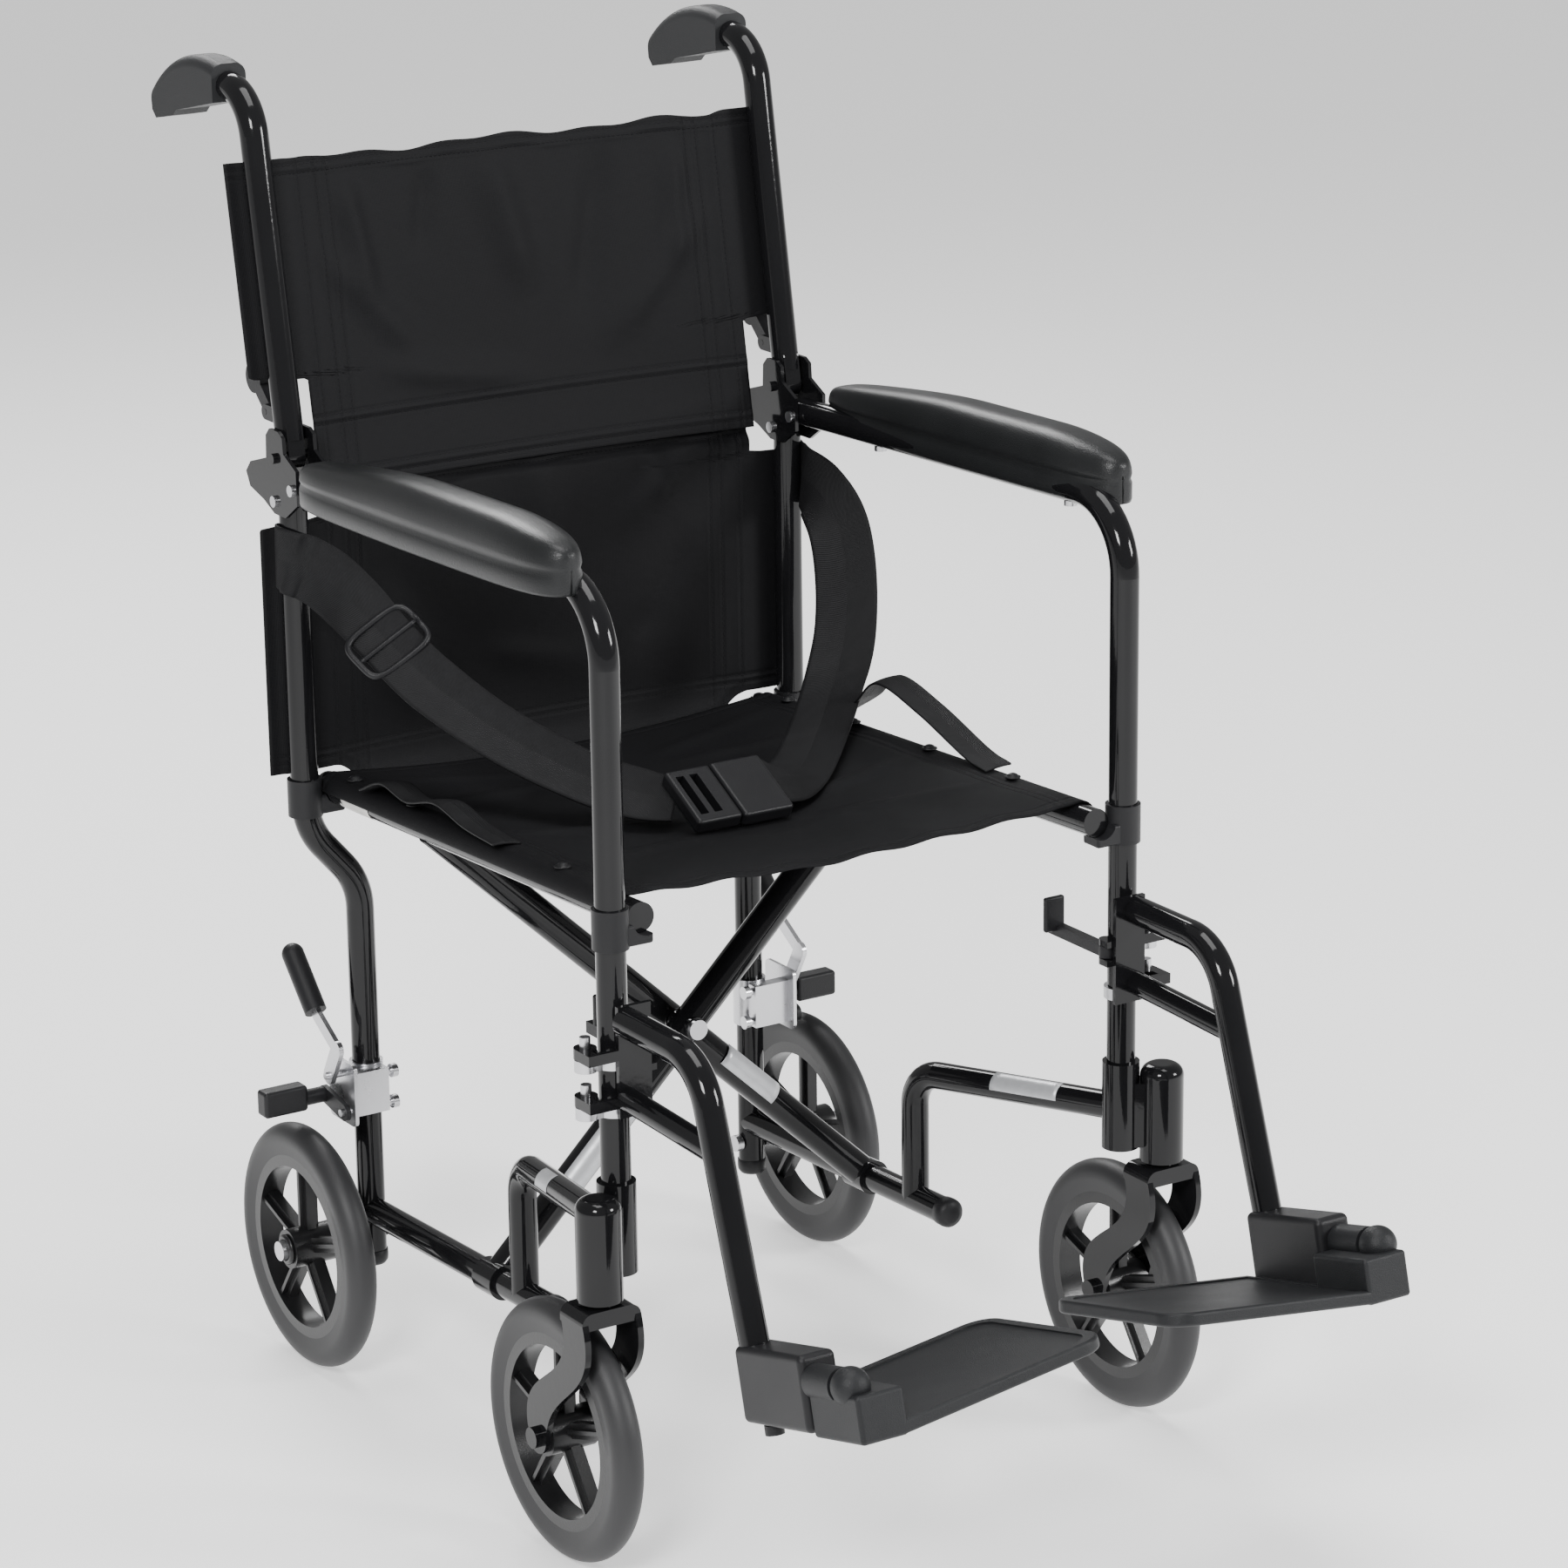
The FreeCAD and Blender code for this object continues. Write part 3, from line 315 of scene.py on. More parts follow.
class Along(enum.Enum):
    """The direction of a seam on a piece's own map."""

    WIDTH = 0
    LENGTH = 1


@dataclass(frozen=True)
class Seam:
    """A line of stitches: the direction it runs in, and its place on the other axis."""

    runs: Along
    place: float


@dataclass(frozen=True)
class Nylon:
    """Coated woven nylon: a fine plain weave, soft creases and lines of stitches on its own map."""

    name: str
    seams: tuple[Seam, ...] = ()
    colour: tuple[float, float, float] = (0.0042, 0.0042, 0.0048)
    thread: float = 0.0011
    stitch: float = 0.0042

    def build(self) -> bpy.types.Material:
        """Return the material."""
        graph = Graph(self.name)
        uv = graph.node("ShaderNodeUVMap", {"uv_map": "flat"}, {})
        parts = graph.node("ShaderNodeSeparateXYZ", {}, {0: uv})
        across = parts
        along = Signal(graph, parts.socket.node.outputs[1])
        weave = across.wave(self.thread) * along.wave(self.thread)
        slack = graph.noise(graph.stretched(uv, (9.0, 9.0, 9.0)), 1.0, 4.0)
        worn = graph.noise(graph.stretched(uv, (3.0, 3.0, 3.0)), 1.0, 5.0)
        furrow: Any = 0.0
        threads: Any = 0.0
        for seam in self.seams:
            side, run = (along, across) if seam.runs is Along.WIDTH else (across, along)
            furrow = side.within(seam.place, 0.0028) + furrow
            dash = run.wave(self.stitch) > 0.28
            threads = side.within(seam.place, 0.0006) * dash + threads
        normal = graph.bump(weave, 0.00022, 0.55)
        normal = graph.bump(slack, 0.006, 0.34, normal)
        if self.seams:
            normal = graph.bump(furrow * -1.0 + threads * 0.7, 0.0011, 0.8, normal)
        return graph.finish(
            Base_Color=graph.blend(worn, self.colour, tuple(c * 1.8 for c in self.colour)),
            Roughness=weave * 0.1 + 0.62,
            Specular_IOR_Level=0.14,
            Normal=normal,
        )


@dataclass(frozen=True)
class Webbing:
    """Polypropylene webbing: a chevron rib across the strap on its own map."""

    name: str = "woven_webbing"
    colour: tuple[float, float, float] = (0.0060, 0.0060, 0.0066)
    rib: float = 0.0016

    def build(self) -> bpy.types.Material:
        """Return the material."""
        graph = Graph(self.name)
        uv = graph.node("ShaderNodeUVMap", {"uv_map": "flat"}, {})
        parts = graph.node("ShaderNodeSeparateXYZ", {}, {0: uv})
        across = parts
        along = Signal(graph, parts.socket.node.outputs[1])
        chevron = (along + abs(across) * 0.8).wave(self.rib)
        edge = abs(across).within(0.0, 0.03)
        tone = graph.noise(graph.stretched(uv, (60.0, 60.0, 60.0)), 1.0, 4.0)
        return graph.finish(
            Base_Color=graph.blend(tone, self.colour, tuple(c * 1.9 for c in self.colour)),
            Roughness=chevron * 0.12 + 0.55,
            Specular_IOR_Level=0.18,
            Normal=graph.bump(chevron * 0.8 + edge * 0.2, 0.0004, 0.7),
        )


@dataclass(frozen=True)
class Foil:
    """Blank printed label stock: a pale film with scuffs."""

    name: str
    colour: tuple[float, float, float]
    metallic: float

    def build(self) -> bpy.types.Material:
        """Return the material."""
        graph = Graph(self.name)
        scuff = graph.noise(graph.place(), 120.0, 5.0)
        return graph.finish(
            Base_Color=graph.blend(scuff, self.colour, tuple(c * 0.72 for c in self.colour)),
            Metallic=self.metallic,
            Roughness=scuff * 0.2 + 0.25,
            Normal=graph.bump(scuff, 0.0002, 0.3),
        )


ENAMEL = Enamel()
PAD_SKIN = Moulding("arm_pad_skin", (0.009, 0.0095, 0.010), 0.36, 1100.0, 0.00025, 0.08)
GRIP_VINYL = Moulding("grip_vinyl", (0.013, 0.0135, 0.0145), 0.52, 1500.0, 0.0002)
TREAD_PLASTIC = Moulding("footplate_plastic", (0.011, 0.0115, 0.0125), 0.46, 1300.0, 0.00025)
BLOCK_PLASTIC = Moulding("fitting_plastic", (0.009, 0.009, 0.010), 0.42, 1500.0, 0.00015)
RIM_PLASTIC = Moulding("rim_plastic", (0.007, 0.007, 0.0075), 0.30, 900.0, 0.0001, 0.2)
BUCKLE_PLASTIC = Moulding("buckle_plastic", (0.008, 0.008, 0.009), 0.38, 1800.0, 0.0001)
RUBBER = Rubber()
ZINC = Plating("zinc_plate", (0.66, 0.66, 0.68), 0.28)
WEBBING = Webbing()
SILVER_LABEL = Foil("silver_label", (0.62, 0.63, 0.65), 0.35)
PALE_LABEL = Foil("pale_label", (0.72, 0.71, 0.68), 0.0)


class Paint:
    """Builds each finish once and hands out its material."""

    _made: dict[Any, bpy.types.Material] = {}

    @classmethod
    def of(cls, finish: Any) -> bpy.types.Material:
        """Return the material of a finish, building it the first time."""
        if finish not in cls._made:
            cls._made[finish] = finish.build()
        return cls._made[finish]


# ------------------------------------------------------------------------------- mesh helpers
class Side(enum.Enum):
    """The occupant's sides, as signs of X."""

    RIGHT = -1
    LEFT = 1

    @property
    def word(self) -> str:
        """Return the side's name as the frame's parts have it."""
        return self.name.lower()


def smooth(value: Array) -> Array:
    """Return 3v^2 - 2v^3 of a value held between 0 and 1."""
    held = np.clip(value, 0.0, 1.0)
    return held * held * (3.0 - 2.0 * held)


def unit_rows(vectors: Array) -> Array:
    """Return vectors scaled to length one along the last axis."""
    return vectors / np.maximum(np.linalg.norm(vectors, axis=-1, keepdims=True), 1e-12)


def arc_length(points: Array, axis: int) -> Array:
    """Return the running length of a grid of points along one of its axes, starting at 0."""
    steps = np.linalg.norm(np.diff(points, axis=axis), axis=-1)
    start = np.zeros_like(np.take(steps, [0], axis=axis))
    return np.concatenate([start, np.cumsum(steps, axis=axis)], axis=axis)


def spline(points: Sequence[Sequence[float]], count: int) -> Array:
    """Carry a uniform Catmull-Rom curve through points.

    Each span is the cubic whose ends are two of the points and whose slopes are half the step
    between their neighbours.

    Args:
        points: the points that the curve passes.
        count: how many samples to take, evenly in the curve's parameter.

    Returns:
        The samples, one per row.
    """
    given = np.array(points, float)
    padded = np.vstack([2 * given[0] - given[1], given, 2 * given[-1] - given[-2]])
    place = np.linspace(0.0, len(given) - 1 - 1e-9, count)
    span = place.astype(int)
    t = (place - span)[:, None]
    a, b, c, d = (padded[span + k] for k in range(4))
    return 0.5 * (2 * b + (c - a) * t + (2 * a - 5 * b + 4 * c - d) * t**2 + (3 * b - a - 3 * c + d) * t**3)


@dataclass
class Piece:
    """One new mesh: a grid of points turned into faces, with its finish."""

    name: str
    points: Array
    finish: Any
    slot: str
    closed: bool = False
    capped: bool = False
    flat: Array | None = None

    def build(self) -> bpy.types.Object:
        """Turn the grid into a mesh of quads and return its object.

        The rows run along the piece and the columns across it. A closed grid joins its last column
        to its first, and a capped one gets a face on its first and last rows.
        """
        rows, columns = self.points.shape[:2]
        index = np.arange(rows * columns).reshape(rows, columns)
        nearer = index if self.closed else index[:, :-1]
        farther = np.roll(index, -1, axis=1) if self.closed else index[:, 1:]
        quads = np.stack([nearer[:-1], farther[:-1], farther[1:], nearer[1:]], axis=-1).reshape(-1, 4)
        faces = quads.tolist()
        if self.capped:
            faces += [index[0][::-1].tolist(), index[-1].tolist()]
        mesh = bpy.data.meshes.new(self.name)
        mesh.from_pydata(self.points.reshape(-1, 3).tolist(), [], faces)
        if self.flat is not None:
            corner = np.zeros(len(mesh.loops), np.int32)
            mesh.loops.foreach_get("vertex_index", corner)
            layer = mesh.uv_layers.new(name="flat")
            layer.data.foreach_set("uv", self.flat.reshape(-1, 2)[corner].astype(np.float32).ravel())
        mesh.shade_smooth()
        mesh.materials.append(Paint.of(self.finish))
        made = bpy.data.objects.new(self.name, mesh)
        bpy.context.scene.collection.objects.link(made)
        LOG.info("%s: %d faces", self.name, len(faces))
        return made


def thicken(obj: bpy.types.Object, thickness: float) -> None:
    """Give a sheet its cloth's thickness, shared between its two sides."""
    wall = obj.modifiers.new("cloth", "SOLIDIFY")
    wall.thickness = thickness
    wall.offset = 0.0


def cloth_map(points: Array) -> Array:
    """Return a flat map in metres: the running length across each row and along each column."""
    across = arc_length(points, 1)
    across = across - across[:, -1:] / 2
    along = arc_length(points, 0)
    return np.stack([across, along], axis=-1)


def cloth_area(points: Array) -> float:
    """Return the area of a grid: half the length of each cell's diagonals' cross product, summed."""
    first = points[1:, 1:] - points[:-1, :-1]
    second = points[1:, :-1] - points[:-1, 1:]
    return float(np.linalg.norm(np.cross(first, second), axis=-1).sum() / 2)


def declare_cloth(points: Array) -> None:
    """Work out the width, length and area of the flat sheet that a piece of cloth was cut from; nothing is
    done with them.

    Args:
        points: its grid of points, rows along its length.
    """
    width = float(arc_length(points, 1)[:, -1].max())
    length = float(arc_length(points, 0)[-1].max())
    area = min(cloth_area(points), width * length)


def folds(first: Array, second: Array, lines: Sequence[Sequence[float]]) -> Array:
    """Add up soft folds over a cloth.

    Each fold is a ridge along a straight line between two places. Its height falls off as a bell
    across the line, and fades to nothing towards both ends.

    Args:
        first: the first coordinate of each point.
        second: the second coordinate of each point.
        lines: for each fold, its two ends as four numbers, its half-width and its height.

    Returns:
        The height at each point.
    """
    total = np.zeros_like(first)
    for x0, y0, x1, y1, width, height in lines:
        run = np.array([x1 - x0, y1 - y0])
        length = np.hypot(*run)
        ahead = ((first - x0) * run[0] + (second - y0) * run[1]) / length**2
        aside = ((first - x0) * run[1] - (second - y0) * run[0]) / length
        fade = smooth(ahead / 0.35) * smooth((1.0 - ahead) / 0.35)
        total += height * fade * np.exp(-((aside / width) ** 2))
    return total


def turned(profile: Sequence[Sequence[float]], centre: Array, axis: Array, sides: int = 32) -> Array:
    """Spin a profile of (radius, distance along the axis) round an axis.

    Args:
        profile: the radius and the distance of each ring.
        centre: the point that the distances start from.
        axis: the direction of the distances.
        sides: how many points each ring has.

    Returns:
        A grid with one ring per row.
    """
    axis = unit_rows(np.array(axis, float))
    aside = unit_rows(np.cross(axis, [0.31, 0.52, 0.79]))
    up = np.cross(axis, aside)
    angle = np.linspace(0, 2 * np.pi, sides, endpoint=False)
    ring = np.cos(angle)[:, None] * aside + np.sin(angle)[:, None] * up
    radius, reach = np.array(profile, float).T
    return np.array(centre) + reach[:, None, None] * axis + radius[:, None, None] * ring


# ------------------------------------------------------------------------------- the frame's lines
@dataclass(frozen=True)
class Layout:
    """Places that several sub-assemblies share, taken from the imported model."""

    post_x: float = 0.224
    rail_x: float = 0.199
    tube: float = 0.0111
    hinge: tuple[float, float] = (0.311, 0.745)
    lean: float = math.tan(math.radians(9.6))
    arm_slope: float = math.tan(math.radians(1.8))
    rear_y: float = 0.313
    slope: float = math.tan(math.radians(2.5))

    def rail_z(self, y: Array | float) -> Array | float:
        """Return the height of a seat rail's middle at a depth."""
        low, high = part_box("right_seat_rail")
        front = high.z - self.tube
        return front - (y - low.y) * self.slope

    def cane_y(self, z: Array | float) -> Array | float:
        """Return the depth of the leaning cane's middle at a height."""
        return self.hinge[0] + (z - self.hinge[1]) * self.lean


LAYOUT = Layout()


# ------------------------------------------------------------------------------- carried-over parts
@dataclass
class MetalAndMouldings:
    """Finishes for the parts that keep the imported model's shape."""

    enamel: tuple[str, ...] = (
        "front_frame_tube", "rear_post", "lower_rail", "caster_housing", "hinge_bracket",
        "seat_rail", "back_cane", "caster_fork", "footrest_hanger",
    )
    fittings: tuple[str, ...] = (
        "rail_saddles", "back_release_lever", "hanger_latch", "footplate_block", "lock_grip",
    )
    plated: tuple[str, ...] = ("lock_bracket", "lock_lever", "frame_fasteners")

    def dress(self) -> None:
        """Give each part its material."""
        finishes = {
            ENAMEL: self.enamel,
            BLOCK_PLASTIC: self.fittings + ("lock_shoe",),
            ZINC: self.plated,
            GRIP_VINYL: ("push_grip",),
            TREAD_PLASTIC: ("footplate",),
            RIM_PLASTIC: ("front_rim", "rear_rim"),
            RUBBER: ("front_tyre", "rear_tyre"),
        }
        for finish, stems in finishes.items():
            for stem in stems:
                for side in Side:
                    self.paint(f"{side.word}_{stem}", finish)
        for node in ("brace_arm_a", "brace_arm_b"):
            self.paint(node, ENAMEL)
        self.paint("brace_bolt", ZINC)
        for node in ("buckle_socket", "buckle_tongue"):
            self.paint(node, BUCKLE_PLASTIC)

    def paint(self, node: str, finish: Any) -> None:
        """Put one finish on one part."""
        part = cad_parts[node]
        part.data.materials.clear()
        part.data.materials.append(Paint.of(finish))
        LOG.info("%s: %s", node, finish.name)


# ------------------------------------------------------------------------------- arm pads
@dataclass
class ArmPad:
    """Skinned foam arm pad: a skirt over the arm tube, a crowned top, lower and narrower at the back."""

    side: Side
    skirt: float = 0.0175
    groove: float = 0.0026
    channel: float = 0.0120
    lines: int = 120

    def build(self) -> None:
        """Make the pad and put it on its side frame."""
        name = f"{self.side.word}_armrest_pad"
        low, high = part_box(name)
        pad = Piece(f"{name}_skin", self.shell(low, high), PAD_SKIN, "moulded_plastic",
                    closed=True, capped=True).build()
        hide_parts(name)
        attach(pad, f"{self.side.word}_frame")

    def shell(self, low: Vector, high: Vector) -> Array:
        """Work out the pad's surface.

        Seen from above, the half-width follows a rounded rectangle that narrows to the back. Across
        the pad, the top is a squared-off oval above a shallow groove, the skirt below it is
        upright, and the underside has a square channel for the arm tube.

        Args:
            low: the lowest corner of the pad's space.
            high: the highest corner.

        Returns:
            The grid of points, one ring per row.
        """
        centre_x = (low.x + high.x) / 2
        tube_x = self.side.value * LAYOUT.post_x - centre_x
        s = np.sin(np.linspace(-np.pi / 2, np.pi / 2, self.lines))[:, None] * 0.9999
        y = (low.y + high.y) / 2 + s * (high.y - low.y) / 2 * 0.998
        rise = (high.y - y) * LAYOUT.arm_slope
        end = (1 - np.abs(s) ** 7) ** 0.42
        half = (high.x - low.x) / 2 * (1 - 0.16 * smooth((s + 0.1) / 1.1)) * end
        height = high.z - low.z - (high.y - low.y) * LAYOUT.arm_slope
        arch = 1 - 0.34 * smooth(s / 1.0) - 0.12 * smooth((-s - 0.55) / 0.45)
        crown = (height - self.skirt) * arch * (0.30 + 0.70 * end)
        angle = np.linspace(0.0, np.pi, 41)[None, :]
        wide = np.sign(np.cos(angle)) * np.abs(np.cos(angle)) ** 0.60
        over = np.abs(np.sin(angle)) ** 0.90
        dent = self.groove * end * np.exp(-((np.sin(angle) / 0.09) ** 2))
        top_x = wide * (half - dent)
        top_z = self.skirt + crown * over
        depth = np.array([0.80, 0.45, 0.12, 0.0])[None, :] * self.skirt
        left_x = np.concatenate([-half, -half, -half, -half + 0.0016 * end], axis=1)
        inner = np.clip(np.array([tube_x - self.channel, tube_x + self.channel])[None, :],
                        -0.86 * half, 0.86 * half)
        roof = np.minimum(0.0245 + 0 * s, 0.70 * (self.skirt + crown))
        under_x = np.concatenate([inner[:, :1], inner[:, :1], inner[:, 1:], inner[:, 1:]], axis=1)
        under_z = np.concatenate([0 * s, roof, roof, 0 * s], axis=1)
        x = np.concatenate([top_x, left_x, under_x, -left_x[:, ::-1]], axis=1)
        z = np.concatenate([top_z, depth + 0 * s, under_z, depth[:, ::-1] + 0 * s], axis=1)
        return np.stack([centre_x + x, y + 0 * x, low.z + 0.0001 + rise + z], axis=-1)


# ------------------------------------------------------------------------------- seat
@dataclass
class SeatSling:
    """Nylon seat wrapped over both rails, with hems, folds and the screws that hold it."""

    thickness: float = 0.0018
    sag: float = 0.013
    columns: int = 150
    rows: int = 130
    screw_depths: tuple[float, ...] = (-0.046, 0.069, 0.179, 0.276)
    screws: list[bpy.types.Object] = field(default_factory=list)

    def section(self) -> tuple[Array, Array, Array]:
        """Work out the sling's section across the chair.

        It goes down over each rail as a quarter turn of a circle and straight between their tops.

        Returns:
            The x of each point, its height above the rails' middle, and how far it is from a rail
            as a share from 0 at a rail to 1 at the middle of the seat.
        """
        reach = LAYOUT.tube + 0.0014
        turn = np.linspace(0.0, np.pi / 2, 14)
        over_x = -LAYOUT.rail_x - np.cos(turn) * reach
        over_z = np.sin(turn) * reach
        flat_x = np.linspace(-LAYOUT.rail_x, LAYOUT.rail_x, self.columns)[1:-1]
        x = np.concatenate([over_x, flat_x, -over_x[::-1]])
        z = np.concatenate([over_z, np.full_like(flat_x, reach), over_z[::-1]])
        share = np.clip(1 - np.abs(x) / LAYOUT.rail_x, 0, 1)
        return x, z, share

    def surface(self) -> Array:
        """Work out the sling's points.

        The middle hangs below the rails as a shallow arch, less towards the front hem. Folds run in
        from the screws, and the cloth puckers up between them.
        """
        low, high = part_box("seat_sling")
        x, z, share = self.section()
        y = np.linspace(low.y, high.y, self.rows)
        grid_x, grid_y = np.meshgrid(x, y)
        share = np.broadcast_to(share, grid_x.shape)
        along = (grid_y - low.y) / (high.y - low.y)
        hang = self.sag * (1 - (1 - share) ** 2) * (0.45 + 0.55 * smooth(along / 0.5))
        pucker = 0.0016 * np.exp(-share / 0.10) * np.sin(grid_y * 2 * np.pi / 0.112 + 1.1) * np.sign(share)
        lines = [
            (sign * 0.195, depth, sign * 0.03, depth + drift, 0.010, height)
            for sign in (-1.0, 1.0)
            for depth, drift, height in (
                (-0.046, 0.035, 0.0026), (0.069, -0.030, 0.0030), (0.179, 0.030, 0.0028),
                (0.276, -0.045, 0.0024),
            )
        ]
        lines += [
            (-0.10, -0.150, 0.06, -0.110, 0.013, -0.0020),
            (0.02, 0.020, 0.12, 0.190, 0.014, 0.0022),
            (-0.13, 0.120, -0.02, 0.250, 0.012, 0.0024),
            (-0.05, -0.060, 0.10, -0.020, 0.016, 0.0015),
        ]
        ripple = 0.0011 * np.sin(grid_x * 2 * np.pi / 0.061 + 0.7) * smooth((0.12 - along) / 0.12)
        ripple = ripple * smooth(share / 0.2)
        height = np.broadcast_to(z, grid_x.shape) - hang + pucker + folds(grid_x, grid_y, lines) + ripple
        return np.stack([grid_x, grid_y, LAYOUT.rail_z(grid_y) + height], axis=-1)

    def build(self) -> None:
        """Make the sling, its hems and its screws."""
        points = self.surface()
        length = float(arc_length(points, 0)[-1].max())
        half = float(arc_length(points, 1)[:, -1].max()) / 2
        inset = half - 0.038
        seams = (
            Seam(Along.WIDTH, 0.011), Seam(Along.WIDTH, length - 0.011),
            Seam(Along.LENGTH, inset), Seam(Along.LENGTH, -inset),
            Seam(Along.LENGTH, inset + 0.006), Seam(Along.LENGTH, -inset - 0.006),
        )
        finish = Nylon("seat_nylon", seams)
        cloth = Piece("seat_cloth", points, finish, "nylon", flat=cloth_map(points)).build()
        thicken(cloth, self.thickness)
        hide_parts("seat_sling")
        self.make_screws()
        declare_cloth(points)
        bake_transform(cloth)

    def make_screws(self) -> None:
        """Set a row of pan-head screws with washers along the top of each rail."""
        head = [(0.0001, 0.0034), (0.0022, 0.0033), (0.0039, 0.0024), (0.0044, 0.0010), (0.0062, 0.0009),
                (0.0064, 0.0)]
        for side in Side:
            body = "brace_b" if side is Side.RIGHT else "brace_a"
            for number, depth in enumerate(self.screw_depths, start=1):
                cloth_top = LAYOUT.rail_z(depth) + LAYOUT.tube + 0.0024
                foot = np.array([side.value * LAYOUT.rail_x, depth, cloth_top])
                rings = turned(head[::-1], foot, np.array([0.0, LAYOUT.slope, 1.0]), 24)
                screw = Piece(f"{side.word}_seat_screw_{number}", rings, BLOCK_PLASTIC, "zinc",
                              closed=True, capped=True).build()
                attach(screw, body)
                self.screws.append(screw)


# ------------------------------------------------------------------------------- back
@dataclass
class BackPanel:
    """One part of the nylon back: a web behind the posts, wider where it is screwed to them."""

    name: str
    node: str
    body: str
    bottom: float
    top: float
    wing_from: float
    wing_to: float
    leaning: bool
    lines: tuple[tuple[float, ...], ...]
    seams: tuple[float, ...]
    screw_heights: tuple[float, ...]
    keep: float = 0.8634
    wing: float = 0.2450
    notch: float = 0.196
    droop: float = 0.024
    crease: float = 1.7
    rows: int = 150
    screws: list[bpy.types.Object] = field(default_factory=list)

    def middle(self, z: Array | float) -> Array | float:
        """Return the depth of the posts' middle at a height."""
        return LAYOUT.cane_y(z) if self.leaning else LAYOUT.rear_y + 0 * z

    def web(self) -> Array:
        """Work out the web.

        It lies on the back of both posts and hangs back a little between them, less towards the hems.
        Its edges stand past the posts in the wings and inboard of them at the notches. Folds run over
        it, hems stand out, and the top edge is slightly drawn in between its stitches. The lower web
        droops at its middle towards the seat, and its top edge is tucked behind the upper web.
        """
        z = np.linspace(self.bottom, self.top, self.rows)[:, None]
        t = np.linspace(-1.0, 1.0, 190)[None, :]
        winged = smooth((z - self.wing_from) / 0.005 + 0.5) * smooth((self.wing_to - z) / 0.005 + 0.5)
        half = self.notch + (self.wing - self.notch) * winged
        x = t * half
        drawn = np.sin(x * 97.0 + 0.6) * 0.0012 + np.sin(x * 41.0 + 2.0) * 0.0016
        hem = smooth((z - self.top + 0.03) / 0.03) * smooth((0.2 - np.abs(x)) / 0.02)
        height = z - (0.0028 - drawn) * hem
        behind = LAYOUT.tube + 0.0021
        inner = smooth((LAYOUT.post_x - 0.010 - np.abs(x)) / 0.05)
        tuck = 0.0024 * smooth((np.abs(x) - 0.228) / 0.010)
        hang = 0.010 * (1 - (x / 0.214) ** 2) * inner
        pull = self.crease * smooth((z - self.bottom - 0.02) / 0.06)
        if not self.leaning:
            height = height - self.droop * smooth(1 - (z - self.bottom) / 0.06) * smooth(
                (0.190 - np.abs(x)) / 0.04)
            tuck = tuck + 0.0055 * smooth((z - self.top + 0.018) / 0.010)
        y = self.middle(height) + behind + hang + tuck - pull * folds(x, z + 0 * x, self.lines) * inner
        for seam in self.seams:
            y = y - 0.0014 * inner * np.exp(-(((z - seam) / 0.0032) ** 2))
        for line in (0.160, 0.170, 0.186):
            y = y - 0.0009 * np.exp(-(((np.abs(x) - line) / 0.0030) ** 2))
        return np.stack([x, y, height + 0 * x], axis=-1)

    def build(self) -> None:
        """Make the web and its screws, and put them on their body."""
        points = self.web()
        flat = np.stack([points[..., 0], points[..., 2] - self.bottom], axis=-1)
        seams = tuple(Seam(Along.WIDTH, z - self.bottom + d) for z in self.seams for d in (-0.003, 0.003))
        seams += tuple(Seam(Along.LENGTH, x) for x in (-0.186, -0.170, -0.160, 0.160, 0.170, 0.186))
        finish = Nylon(f"{self.name}_nylon", seams)
        cloth = Piece(f"{self.name}_web", points, finish, "nylon", flat=flat).build()
        thicken(cloth, 0.0018)
        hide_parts(self.node)
        self.make_screws()
        for part in (cloth, *self.screws):
            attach(part, self.body)
        declare_cloth(points)
        for part in (cloth, *self.screws):
            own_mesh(part)

    def make_screws(self) -> None:
        """Set pan-head screws through the cloth into the back of each post."""
        head = [(0.0001, 0.0030), (0.0022, 0.0029), (0.0038, 0.0021), (0.0044, 0.0008), (0.0046, 0.0)]
        for side in Side:
            for number, z in enumerate(self.screw_heights, start=1):
                foot = np.array([side.value * LAYOUT.post_x, self.middle(z) + LAYOUT.tube + 0.0032, z])
                rings = turned(head[::-1], foot, np.array([0.0, 1.0, 0.0]), 24)
                self.screws.append(Piece(f"{self.name}_{side.word}_screw_{number}", rings, ZINC, "zinc",
                                         closed=True, capped=True).build())


# ------------------------------------------------------------------------------- belt and loops
@dataclass
class Strap:
    """A length of webbing laid along a curve, with its flat side turned as it goes."""

    name: str
    route: tuple[tuple[float, float, float], ...]
    across: tuple[tuple[float, float, float], ...]
    widths: tuple[float, ...]
    thickness: float = 0.0016
    samples: int = 140

    def surface(self) -> Array:
        """Work out the strap: its middle line, widened both ways along the turning cross direction."""
        line = spline(self.route, self.samples)
        side = spline(self.across, self.samples)
        ahead = unit_rows(np.gradient(line, axis=0))
        side = unit_rows(side - (side * ahead).sum(axis=1, keepdims=True) * ahead)
        place = np.linspace(0, len(self.widths) - 1, self.samples)
        width = np.interp(place, np.arange(len(self.widths)), self.widths)
        share = np.linspace(-0.5, 0.5, 17)
        bow = np.cross(ahead, side) * 0.0010
        return (line[:, None, :] + side[:, None, :] * (share[None, :, None] * width[:, None, None])
                + bow[:, None, :] * (1 - (2 * share[None, :, None]) ** 2))

    def build(self, held: str, rests_on: Sequence[str]) -> bpy.types.Object:
        points = self.surface()
        strap = Piece(self.name, points, WEBBING, "webbing", flat=cloth_map(points)).build()
        thicken(strap, self.thickness)
        declare_cloth(points)
        return strap


